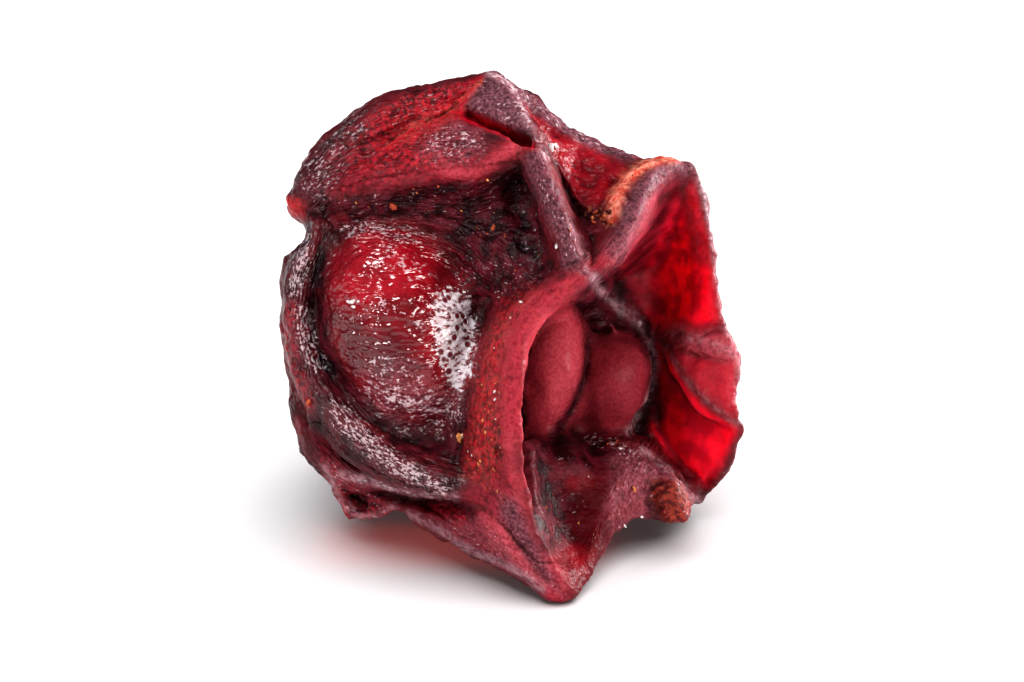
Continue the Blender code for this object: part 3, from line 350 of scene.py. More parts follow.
# The areas that a finish covers, with its strength and the softness of the edge
FINISH_AREAS = {
    "cherry": ((CAP, 0.9, 0.15), (CURL, 0.65, 0.12), (RED_BAND, 0.8, 0.12), (CORNER, 1, 0.08), (FLANGE, 0.35, 0.12),
        (RECESS_LOW, 0.5, 0.15)),
    "gloss": ((DOME, 1, 0.12), (PANEL, 1, 0.08), (SCOOP, 1, 0.08)),
    # dark: painted shade in the recess, deep gaps, hollow lobe, trough and the wall's shaded left, and the shoulder's
    # darker own tone
    "dark": ((RECESS, 0.85, 0.15), (DEEP, 0.95, 0.1), (HOLLOW_LOBE, 0.5, 0.08), (SHOULDER, 0.65, 0.2),
        (TROUGH, 0.9, 0.08), (WALL_LEFT, 0.75, 0.15)),
    # scarlet: a painted glow of the light through the thin walls, the facet and the slit, and a painted brighter red
    # on the dome's upper left
    "scarlet": ((WALL, 1, 0.1), (FACET, 1, 0.05), (UNDER_SHELF, 0.45, 0.12), (SLIT, 0.9, 0.05), (FLAME, 0.25, 0.12),
        (DOME_RED, 0.25, 0.3), (CORNER, 0.2, 0.08), (PANEL, 0.17, 0.12)),
    "rose": ((LEFT_SEED, 0.95, 0.1), (RIGHT_SEED, 0.65, 0.12), (SADDLE, 0.4, 0.12), (LOW_FACET, 0.7, 0.15),
        (FLANGE, 0.5, 0.12), (BULGE, 0.4, 0.15), (UNDER_SHELF, 0.4, 0.12)),
    # a painted sheen on the left seed (OVAL_SHEEN) and the low rims, over their paler rubbed tone
    "pale_red_and_sheen": ((OVAL_SHEEN, 0.6, 0.2), (PINK_FACET, 0.7, 0.1), (SADDLE_LOW, 0.45, 0.1)),
    "plum": ((TENT, 1, 0.04), (SADDLE, 0.6, 0.12), (BULGE, 0.5, 0.15), (LOW_PLUM, 0.85, 0.1), (FLANGE, 0.35, 0.12),
        (CURL, 0.25, 0.12), (LOW_DOME, 0.4, 0.25)),
    "pale": (),
    "bark": ((STALK, 0.9, 0.06),),
    "ember": ((RED_BAND, 0.08, 0.12), (CORNER, 0.08, 0.08), (FLAME, 0.08, 0.1)),
    # gleam: pale bloom on bulge, shoulder and folds, and painted glints on the dome and the pitted patch
    "gleam": ((PITTED, 0.8, 0.12), (BULGE, 0.55, 0.2), (SHOULDER, 0.5, 0.2), (RECESS, 0.22, 0.15),
        (LOW_DOME, 0.5, 0.25), (CAP, 0.22, 0.15), (FLANGE, 0.25, 0.12), (TENT, 0.25, 0.05), (SADDLE, 0.15, 0.1),
        (RECESS_LOW, 0.3, 0.15), (CURL, 0.3, 0.12), (WALL, 0.06, 0.1), (SCOOP, 0.1, 0.08), (LOW_PLUM, 0.12, 0.1)),
    "pitted": ((PITTED, 1, 0.12),),
    "wax": ((DOME, 1, 0.12), (PANEL, 0.12, 0.08), (RECESS, 0.14, 0.12), (TROUGH, 0.15, 0.08), (CAP, 0.2, 0.12),
        (SHOULDER, 0.45, 0.12), (LEFT_SEED, 0.15, 0.1)),
    "calm": ((LEFT_SEED, 0.9, 0.1), (RIGHT_SEED, 0.9, 0.1), (WALL, 0.85, 0.1), (FACET, 0.95, 0.1),
        (UNDER_SHELF, 0.7, 0.1), (DEEP, 0.95, 0.1), (TENT, 0.6, 0.1), (SADDLE, 0.5, 0.1), (SCOOP, 0.6, 0.1)),
    "gritty": ((CAP, 1, 0.15), (SHOULDER, 1, 0.15), (RECESS, 0.8, 0.12), (RED_BAND, 0.9, 0.1), (SCOOP, 0.6, 0.1),
        (CURL, 0.7, 0.1), (LOW_DOME, 0.6, 0.2), (PANEL, 0.7, 0.1), (SADDLE, 0.3, 0.1), (TENT, 0.35, 0.05)),
    "crumbed": ((RED_BAND, 0.35, 0.1), (RECESS, 0.1, 0.1), (CAP, 0.05, 0.1), (SADDLE, 0.05, 0.1), (SCOOP, 0.05, 0.1)),
}

# The lines that a finish follows, with its half width and strength
FINISH_LINES = {
    "cherry": ((BROW, 0.2, 0.5), (SLIT_GLOW, 0.12, 1), (STREAK_RED, 0.12, 0.9)),
    # painted shade along the wall's inner edge, in the scoop, at the facet's corner, beside the ridge and finger and
    # in the seed gaps; the left ridge's own dark tone
    "dark": ((LEFT_RIDGE, 0.3, 0.5), (INNER_EDGE, 0.2, 0.9), (SCOOP_DARK, 0.36, 0.95), (SCOOP_TOP, 0.25, 0.95),
        (FACET_DARK, 0.13, 0.8), (RIDGE_SHADE, 0.11, 0.9), (SEED_GAP, 0.06, 0.8), (SEED_TOP, 0.18, 0.6),
        (FINGER_SHADE, 0.07, 0.8), (STALK_EDGE, 0.07, 0.9)),
    "scarlet": ((GROOVE, 0.12, 0.4),),
    "rose": ((RIM_LINE, 0.2, 1), (SHELF, 0.2, 0.5), (BROW, 0.14, 0.4), (BROW_RIGHT, 0.12, 0.8)),
    "pale_red_and_sheen": ((LIP_LOW, 0.13, 0.55), (BROW_RIGHT, 0.08, 0.4), (SHELF, 0.2, 0.45)),
    "plum": ((RIM_TOP, 0.2, 0.85), (SKYLINE, 0.12, 0.9), (FINGER, 0.17, 0.85), (FOLD_LINE, 0.1, 0.4)),
    # pale: painted highlights along thin rims, edges and silhouettes, over the paler dry edge
    "pale": ((SLIT_RIM, 0.07, 0.8), (TENT_EDGE, 0.06, 0.7), (CURL_LIP, 0.07, 0.6), (SADDLE_FOLD, 0.06, 0.6),
        (SEED_RIM, 0.06, 0.75), (SHELF, 0.09, 0.4), (WALL_EDGE, 0.06, 0.5), (LOW_EDGE, 0.07, 0.6),
        (OVERLAP, 0.05, 0.35)),
    "ember": ((ORANGE_EDGE, 0.1, 1), (GROOVE, 0.05, 0.2)),
    # gleam: painted glints on the ridge, the dome and the rims, mixed with patches of pale bloom
    "gleam": ((RIDGE_TOP, 0.15, 0.75), (RIDGE_MIDDLE, 0.17, 0.75), (RIDGE_LOW, 0.22, 0.75), (RIDGE_END, 0.17, 0.8),
        (DOME_TOP, 0.15, 0.7), (DOME_RIGHT, 0.2, 0.6), (DOME_DASHES, 0.12, 0.6), (DOME_LOW, 0.16, 0.7),
        (TENT_EDGE, 0.05, 0.8), (SKYLINE, 0.08, 0.4), (FINGER, 0.16, 0.3), (SLIT_RIM, 0.07, 0.6),
        (SADDLE_TOP, 0.14, 0.6), (WALL_EDGE, 0.04, 0.3), (SEED_RIM, 0.05, 0.4)),
    "wax": ((LEFT_RIDGE, 0.3, 0.5),),
    "calm": ((RIM_LINE, 0.2, 0.6), (RIM_TOP, 0.2, 0.5)),
    "gritty": ((LEFT_RIDGE, 0.3, 0.9), (SKYLINE, 0.12, 0.6), (FINGER, 0.2, 0.6), (RIM_TOP, 0.2, 0.4),
        (RIM_LINE, 0.2, 0.35), (BROW_RIGHT, 0.15, 0.6)),
    "crumbed": ((GROOVE, 0.08, 0.4), (ORANGE_EDGE, 0.12, 0.08), (SKYLINE, 0.08, 0.2), (FINGER, 0.15, 0.12),
        (SADDLE_TOP, 0.12, 0.4), (LOW_BAND, 0.16, 1)),
}


# Meshing

def new_object(name, data):
    made = bpy.data.objects.new(name, data)
    bpy.context.scene.collection.objects.link(made)
    return made


def as_mesh(made):
    """The object with its modifiers worked out, as its own plain mesh."""
    graph = bpy.context.evaluated_depsgraph_get()
    mesh = bpy.data.meshes.new_from_object(made.evaluated_get(graph))
    made.modifiers.clear()
    made.data = mesh
    return mesh


def new_mesh(name, body):
    """The shape as a new mesh."""
    mesh = bpy.data.meshes.new(name)
    body.to_mesh(mesh)
    body.free()
    return mesh


def shape_of(mesh):
    body = bmesh.new()
    body.from_mesh(mesh)
    return body


def remeshed(mesh, spacing):
    """An evenly spaced mesh of one closed skin."""
    holder = new_object("holder", mesh)
    remesh = holder.modifiers.new("one skin", "REMESH")
    remesh.mode = "VOXEL"
    remesh.voxel_size = spacing
    made = as_mesh(holder)
    bpy.data.objects.remove(holder)
    return made


class Net:
    """The points of a mesh with who their neighbours are."""

    def __init__(self, mesh):
        self.mesh = mesh
        self.points = np.empty((len(mesh.vertices), 3), np.float32)
        mesh.vertices.foreach_get("co", self.points.ravel())
        ends = np.empty((len(mesh.edges), 2), np.int32)
        mesh.edges.foreach_get("vertices", ends.ravel())
        self.one = np.concatenate([ends[:, 0], ends[:, 1]])
        self.other = np.concatenate([ends[:, 1], ends[:, 0]])
        self.count = np.bincount(self.one, minlength=len(self.points)).clip(1)

    def mean(self, values):
        """The mean of each point's neighbours."""
        if values.ndim == 1:
            return np.bincount(self.one, weights=values[self.other], minlength=len(values)) / self.count
        return np.stack([self.mean(column) for column in values.T], axis=1)

    def smooth(self, values, rounds, share=0.5):
        for _ in range(rounds):
            values = values + share * (self.mean(values) - values)
        return values

    def without_facets(self, rounds):
        """The points with small facets smoothed away and the form kept: each round shrinks, then swells."""
        places = self.points.astype(float)
        for _ in range(rounds):
            places = self.smooth(places, 1, 0.55)
            places = self.smooth(places, 1, -0.57)
        return places

    def normals(self):
        self.mesh.vertices.foreach_set("co", self.points.astype(np.float32).ravel())
        self.mesh.update()
        made = np.empty((len(self.points), 3), np.float32)
        self.mesh.vertex_normals.foreach_get("vector", made.ravel())
        return made.astype(float)

    def bulge(self, normals, rounds):
        """How far each point stands out from the skin smoothed so many times."""
        return ((self.points - self.smooth(self.points, rounds)) * normals).sum(axis=1)


def solid_in_millimetres():
    """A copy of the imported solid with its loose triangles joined, in the berry's own millimetres."""
    body = shape_of(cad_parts["berry"].data)
    bmesh.ops.remove_doubles(body, verts=body.verts[:], dist=1e-7)
    bmesh.ops.scale(body, vec=(1 / MM,) * 3, verts=body.verts[:])
    bmesh.ops.translate(body, vec=ORIGIN, verts=body.verts[:])
    return new_mesh("solid", body)


def rope(body, line, width_at):
    """A round tube through the points of a line, with a width for each."""
    last = len(line) - 1
    rings = []
    for n, point in enumerate(line):
        ahead = (line[min(n + 1, last)] - line[max(n - 1, 0)]).normalized()
        across = ahead.orthogonal().normalized() if n == 0 else (across - ahead * across.dot(ahead)).normalized()
        other = ahead.cross(across)
        turns = [2 * math.pi * side / ROPE_SIDES for side in range(ROPE_SIDES)]
        rings.append([body.verts.new(point + (across * math.cos(a) + other * math.sin(a)) * width_at(n / last, point))
                      for a in turns])
    for one, two in zip(rings, rings[1:]):
        for side in range(ROPE_SIDES):
            after = (side + 1) % ROPE_SIDES
            body.faces.new((one[side], one[after], two[after], two[side]))
    body.faces.new(rings[0][::-1])
    body.faces.new(rings[-1])


def bead(body, tree, radius, proud, line):
    """A round lip laid on the skin through the nearest places to a line, thinner at its ends."""
    laid = []
    for place in spline(line, BEAD_POINTS):
        found, normal, _, _ = tree.find_nearest(seen(*place))
        laid.append(found + normal * (proud - 0.5 * radius))
    smoothed = np.array(laid)
    for _ in range(4):
        smoothed[1:-1] = 0.25 * smoothed[:-2] + 0.5 * smoothed[1:-1] + 0.25 * smoothed[2:]

    def width_at(along, point):
        taper = 0.45 + 0.55 * math.sin(math.pi * min(max(along, 0.02), 0.98)) ** 0.5
        return radius * taper * (1 + 0.25 * noise.noise(point * 2.2))

    rope(body, [Vector(p) for p in smoothed], width_at)


def with_lips():
    """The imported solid, evened, with its facets gone and the lips fused on."""
    body = shape_of(solid_in_millimetres())
    for radius, line in FILLS:
        rope(body, [seen(*p) for p in spline(line, FILL_POINTS)], lambda along, point: radius)
    net = Net(remeshed(new_mesh("filled", body), FIRST_MESH))
    net.points = net.without_facets(SOLID_ROUNDS)
    net.normals()
    body = shape_of(net.mesh)
    tree = BVHTree.FromBMesh(body)
    for radius, proud, line in BEADS:
        bead(body, tree, radius, proud, line)
    return remeshed(new_mesh("skin", body), FINE_MESH)


# Relief

def near_line(look, line):
    """For each point as seen: its distance from a line, how far along and beside it it is, how far away the line is
    there where it has a depth, and the share of the line passed."""
    curve = spline(line, LINE_POINTS)
    gap = np.hypot(look[:, None, 0] - curve[None, :, 0], look[:, None, 1] - curve[None, :, 1])
    near = gap.argmin(axis=1)
    off = gap[np.arange(len(gap)), near]
    ahead = np.gradient(curve[:, :2], axis=0)
    ahead = (ahead / np.linalg.norm(ahead, axis=1)[:, None])[near]
    reach = look[:, :2] - curve[near, :2]
    pace = np.concatenate([[0], np.cumsum(np.linalg.norm(np.diff(curve[:, :2], axis=0), axis=1))])
    along = pace[near] + (ahead * reach).sum(axis=1)
    beside = ahead[:, 0] * reach[:, 1] - ahead[:, 1] * reach[:, 0]
    return off, along, beside, curve[near, -1], near / (len(curve) - 1)


def swollen(look, normals):
    """The skin's shift at each point for the swells and dents."""
    shift = np.zeros((len(look), 3))
    for height, radius, *centre in rows(SWELLS).tolist():
        gap = ((look - centre) ** 2).sum(axis=1)
        shift += (height * np.exp(-gap / radius ** 2))[:, None] * normals
    return shift


def pulled(look):
    """The skin's shift at each point for the places drawn out or in."""
    shift = np.zeros((len(look), 2))
    for *middle, right, higher, radius in rows(PULLS).tolist():
        gap = ((look[:, :2] - middle) ** 2).sum(axis=1)
        shift += np.exp(-gap / radius ** 2)[:, None] * (right, higher)
    return shift @ np.array((seen(1, 0, 0), seen(0, 1, 0)))


def flattened(look):
    """The skin's shift at each point that brings the flat facets into their planes."""
    push = np.zeros(len(look))
    for outline, corners in FLATS:
        a, b, c = rows(corners)
        normal = np.cross(b - a, c - a)
        level = a[2] - ((look[:, :2] - a[:2]) @ normal[:2]) / normal[2]
        gap = level - look[:, 2]
        push += gap * inside(look, outline, FLAT_EDGE) * np.exp(-(gap / FLAT_DEPTH) ** 4)
    return push[:, None] * AWAY


def creased(look):
    """The skin's shift at each point for the creases."""
    push = np.zeros(len(look))
    for depth, width, line in CREASES:
        off, _, _, level, share = near_line(look, line)
        taper = np.sqrt(np.clip(np.sin(np.pi * np.clip(share, 0.02, 0.98)) * 1.4, 0, 1))
        push += depth * np.exp(-(off / width) ** 2) * np.exp(-((look[:, 2] - level) / CREASE_DEPTH) ** 2) * taper
    return push[:, None] * AWAY


def grained(look, open_side):
    """How far the grain lifts each point, how much of each place is grain, and its way along and across the grain."""
    lift, cover, flow = np.zeros(len(look)), np.zeros(len(look)), np.zeros((len(look), 3))
    for which, (height, reach, length, breadth, line) in enumerate(GRAINS):
        gap, pace, off, level, _ = near_line(look, line)
        past = np.maximum(gap ** 2 - off ** 2, 0)
        share = np.exp(-(off / reach) ** 4 - past / GRAIN_END) * open_side
        share = share * np.exp(-((look[:, 2] - level) / GRAIN_DEPTH) ** 4)
        for n in np.flatnonzero(share > FAINT_GRAIN).tolist():
            wave = noise.noise(Vector((pace[n] / length, off[n] / breadth, look[n, 2] / 0.7)))
            fine = noise.noise(Vector((pace[n] / length * 2.1, off[n] / breadth * 1.9, look[n, 2] / 0.4 + 5)))
            lift[n] += height * share[n] * (1.2 * (0.3 - abs(wave)) + 0.6 * fine)
        best = share > cover
        flow[best] = np.stack([pace / length, off / breadth, np.full(len(look), 3.7 * which)], axis=1)[best]
        cover = np.maximum(cover, share)
    return lift, cover, flow


def inside(look, outline, soft):
    """1 inside an outline as seen, 0 outside, over soft millimetres."""
    corners = rows(outline)
    after = np.roll(corners, -1, axis=0)
    within = np.zeros(len(look), bool)
    gap = np.full(len(look), 1e9)
    for (ax, ay), (bx, by) in zip(corners, after):
        crosses = (ay > look[:, 1]) != (by > look[:, 1])
        if by != ay:
            within ^= crosses & (look[:, 0] < (bx - ax) * (look[:, 1] - ay) / (by - ay) + ax)
        length = (bx - ax) ** 2 + (by - ay) ** 2
        t = np.clip(((look[:, 0] - ax) * (bx - ax) + (look[:, 1] - ay) * (by - ay)) / length, 0, 1)
        gap = np.minimum(gap, np.hypot(look[:, 0] - ax - t * (bx - ax), look[:, 1] - ay - t * (by - ay)))
    return step(np.where(within, gap, -gap), -soft, soft)


def facing(tree, points, normals):
    """1 where the open side's eye can see the skin, 0 where it can't."""
    eye = -seen(0, 0, 1)
    clear = np.zeros(len(points))
    for n in np.flatnonzero(normals @ np.array(eye) > TURNED).tolist():
        start = Vector(points[n]) + Vector(normals[n]) * RAY_START + eye * RAY_START
        clear[n] = tree.ray_cast(start, eye, RAY_REACH)[0] is None
    return clear


def thinness(tree, points, normals):
    """1 where the skin is one thin wall, 0 over flesh."""
    depth = np.full(len(points), 9.0)
    for n, (point, normal) in enumerate(zip(points.tolist(), normals.tolist())):
        inward = -Vector(normal)
        hit = tree.ray_cast(Vector(point) + inward * 0.02, inward, 1.2)
        if hit[0] is not None:
            depth[n] = hit[3]
    return 1 - step(depth, THIN_WALL, FLESH)


def wrinkled(look, points, open_side, masks):
    """Crumple all over, ripples on the glossy swelling, fine ridges in the recess, and a rough stalk scar."""
    lift = np.zeros(len(points))
    for n, point in enumerate(points.tolist()):
        place = Vector(point)
        back = 1 - open_side[n]
        broad = noise.noise(place * 1.6 + Vector((4.1, 2.7, 9.9)))
        small = noise.noise(place * 4.3 + Vector((1.2, 8.4, 3.3)))
        sharp = 0.3 - abs(noise.noise(place * 3.1 + Vector((6.7, 1.9, 2.6))))
        fine = noise.noise(place * 9.0 + Vector((2.2, 5.1, 7.3)))
        tight = 0.25 - abs(noise.noise(place * 6.3 + Vector((3.7, 6.9, 1.6))))
        quiet = max(0.1, 1 - 0.8 * masks["dome"][n] - 0.8 * masks["seeds"][n] - 0.7 * masks["walls"][n])
        lift[n] = quiet * (0.024 * broad + 0.020 * small + (0.05 + 0.04 * back) * sharp + 0.035 * tight + 0.008 * fine)
        across, up, away = look[n].tolist()
        if masks["ripple"][n] > FAINT:
            bend = 0.25 * noise.noise(Vector((across * 1.3, up * 1.3, 0)))
            lift[n] += 0.014 * masks["ripple"][n] * noise.noise(Vector((across * 2.6, (up + bend) * 8, away)))
        if masks["stalk"][n] > FAINT:
            lift[n] += 0.07 * masks["stalk"][n] * (0.3 - abs(noise.noise(place * 5.5)))
            lift[n] += 0.03 * masks["stalk"][n] * noise.noise(place * 11)
        if masks["recess"][n] > FAINT:
            sway = 0.35 * noise.noise(Vector((across * 1.6, up * 1.6, 3)))
            wave = noise.noise(Vector((across * 2.6, (up + sway) * 8.5, 1)))
            lift[n] += 0.05 * masks["recess"][n] * (0.22 - abs(wave))
    return lift


def painted(net, look, shown):
    """How strong each finish is at each point."""
    finish = {}
    for name, areas in FINISH_AREAS.items():
        value = np.zeros(len(look))
        for outline, strength, soft in areas:
            value = np.maximum(value, strength * inside(look, outline, soft))
        for line, width, strength in FINISH_LINES.get(name, ()):
            value = np.maximum(value, strength * np.exp(-(near_line(look, line)[0] / width) ** 4))
        finish[name] = net.smooth(value * shown, 2)
    return finish


def finished_skin():
    """The berry's skin with all its relief, and what its finish depends on kept at each point."""
    mesh = with_lips()
    net = Net(mesh)
    net.points = net.without_facets(SKIN_ROUNDS)
    broad = net.smooth(net.normals(), 12)
    net.points = net.points + swollen(seen_back(net.points), broad)
    for shift in (pulled, flattened, creased):
        net.points = net.points + shift(seen_back(net.points))
    normals = net.normals()
    look = seen_back(net.points)
    tree = BVHTree.FromPolygons(net.points.tolist(), [p.vertices[:] for p in mesh.polygons])
    open_side = net.smooth(facing(tree, net.points, normals), 3)

    def mask(soft, *areas):
        return np.max([inside(look, area, soft) for area in areas], axis=0) * open_side

    masks = {"dome": mask(0.2, DOME), "ripple": mask(0.25, RIPPLED), "stalk": mask(0.05, STALK),
             "recess": mask(0.15, RECESS), "seeds": mask(0.1, LEFT_SEED, RIGHT_SEED),
             "walls": mask(0.1, WALL, FACET, UNDER_SHELF, DEEP, SCOOP, TENT)}
    smooth_places = np.max([masks["seeds"], inside(look, DEEP, 0.1), inside(look, TENT, 0.05)], axis=0)
    grain, cover, flow = grained(look, open_side * (1 - smooth_places))
    lift = grain + wrinkled(look, net.points, open_side, masks)
    lift[(net.points[:, 2] < ORIGIN[2] + LEVEL_HEIGHT) & (lift > 0)] = 0
    thin = net.smooth(thinness(tree, net.points, normals), 4)
    net.points = net.points + lift[:, None] * normals

    normals = net.normals()
    look = seen_back(net.points)
    rise, swell = net.bulge(normals, CREASE_ROUNDS), net.bulge(normals, FOLD_ROUNDS)
    shown = np.maximum(open_side, net.smooth(inside(look, SCOOP, 0.1) * (look[:, 2] < SCOOP_AWAY), 2))
    finish = painted(net, look, shown)
    matt = np.maximum(finish["rose"], finish["plum"])
    kept = {
        "thin": 0.4 * thin,
        # crease: painted shade, the colour goes near black at the bottom of the fine creases
        "crease": 0.5 * step(-net.smooth(rise, 1), 0.001, 0.012),
        "proud": 0.25 * step(swell, 0.01, 0.10),
        # hollow: painted shade, the colour darkens in the skin's broad hollows
        "hollow": 0.7 * step(-swell, 0.01, 0.10),
        "grain": cover,
        **finish,
        "matt": matt,
        "lively": 1 - finish["calm"],
        "gleams": step(finish["gleam"], 0.02, 0.12),
        "coat": np.maximum(np.maximum(finish["wax"], 0.35 * (1 - shown)) * (1 - 0.7 * matt), 0.01),
        "through": 0.08 + 0.4 * thin + 0.55 * finish["scarlet"],
    }
    for name, values in kept.items():
        made = mesh.attributes.new(name, "FLOAT", "POINT")
        made.data.foreach_set("value", np.clip(values, 0, 1).astype(np.float32))
    made = mesh.attributes.new("flow", "FLOAT_VECTOR", "POINT")
    made.data.foreach_set("vector", flow.astype(np.float32).ravel())
    places = (net.points - ORIGIN) * MM
    places[:, 2] = places[:, 2].clip(0)
    mesh.vertices.foreach_set("co", places.astype(np.float32).ravel())
    mesh.update()
    skin = new_object("dried_berry", mesh)
    triangles = 2 * len(mesh.polygons)
    if triangles > MOST_FACES:
        fewer = skin.modifiers.new("fewer faces", "DECIMATE")
        fewer.ratio = MOST_FACES / triangles
        mesh = as_mesh(skin)
    mesh.shade_smooth()
    return skin


# Materials

def linear(code):
    """An sRGB hex colour as linear red, green, blue and alpha."""
    parts = [int(code[n:n + 2], 16) / 255 for n in (1, 3, 5)]
    return (*[c / 12.92 if c <= 0.04045 else ((c + 0.055) / 1.055) ** 2.4 for c in parts], 1)


def add(tree, kind, settings=()):
    """Adds a node, or takes the one given, and sets its properties and inputs. An input is linked where it is given
    another node, whose first output is taken, or an output. A kind without Node in its name is a shader node."""
    if isinstance(kind, str):
        kind = tree.nodes.new(kind if "Node" in kind else "ShaderNode" + kind)
    for name, value in dict(settings).items():
        if isinstance(value, bpy.types.Node):
            value = value.outputs[0]
        if isinstance(value, bpy.types.NodeSocket):
            tree.links.new(value, kind.inputs[name])
        elif isinstance(name, str) and hasattr(kind, name):
            setattr(kind, name, value)
        else:
            kind.inputs[name].default_value = value
    return kind


def new_material(name):
    """A material, its tree and its surface."""
    made = bpy.data.materials.new(name)
    made.use_nodes = True
    return made, made.node_tree, made.node_tree.nodes["Principled BSDF"]


# The skin's colour, laid on from the bottom up: dark and light tone, the pattern between them, what it covers
LAYERS = (
    ("#2a0a10", "#5a1620", "mottle", None),
    # painted shade: darker in the skin's broad hollows
    ("#140406", "#2a070c", "blotch", "hollow"),
    # redder where the skin is a thin wall: its own red there, and painted light coming through
    ("#6a0e18", "#841620", "blotch", "thin"),
    ("#55282e", "#704046", "ragged", "proud"),
    ("#540410", "#820818", "mottle", "gloss"),      # stretched glossy skin, wine red
    ("#540c16", "#b42030", "speckle", "cherry"),    # red skin in broken specks
    ("#cc0e2b", "#ec1636", "blotch", "scarlet"),    # single walls that the light comes through: their own red with a painted glow, also a painted brighter red on the dome
    ("#8b2230", "#9d303d", "grit", "rose"),         # matt rims and seed swellings
    ("#b0404c", "#be4f5a", "grit", "pale_red_and_sheen"),        # the palest red: a rubbed rim's own tone, and a painted sheen on the lit seed swelling and the low rims
    ("#1a0409", "#561320", "blotch", "dark"),       # painted shade in the recess and the shaded places, over the darker own tone of shoulder and ridge
    ("#502c36", "#7a4a54", "grit", "plum"),         # dusty folds, and a painted purple reflection on the dome's lower part
    ("#7e4c56", "#b08a92", "ragged", "pale"),       # dry edges, with a painted highlight along the thin rims and silhouettes
    ("#c04a38", "#f49680", "ragged", "ember"),      # frayed orange edges
    ("#4c1510", "#8c3426", "speckle", "bark"),      # the torn stalk scar
    # painted shade: near black at the bottom of the fine creases
    ("#150306", "#200508", "blotch", "crease"),
)

# Noise patterns: the size of a patch in millimetres, its detail, and the noise values that become 0 and 1
PATTERNS = {
    "mottle": (0.8, 2, 0.38, 0.62),
    "blotch": (0.3, 2, 0.38, 0.62),
    "ragged": (0.12, 3, 0.38, 0.62),
    "speckle": (0.07, 2, 0.36, 0.64),
    "grit": (0.05, 2, 0.38, 0.62),
}

# Sizes of the fine relief, in millimetres
RIPPLE = 0.085
DIMPLE = 0.13
PIT = 0.14
RELIEF = 0.08           # height of the fine relief
CRUMB_MOTTLE = 0.03     # size of the patches on a crumb
CRUMB_RELIEF = 0.01


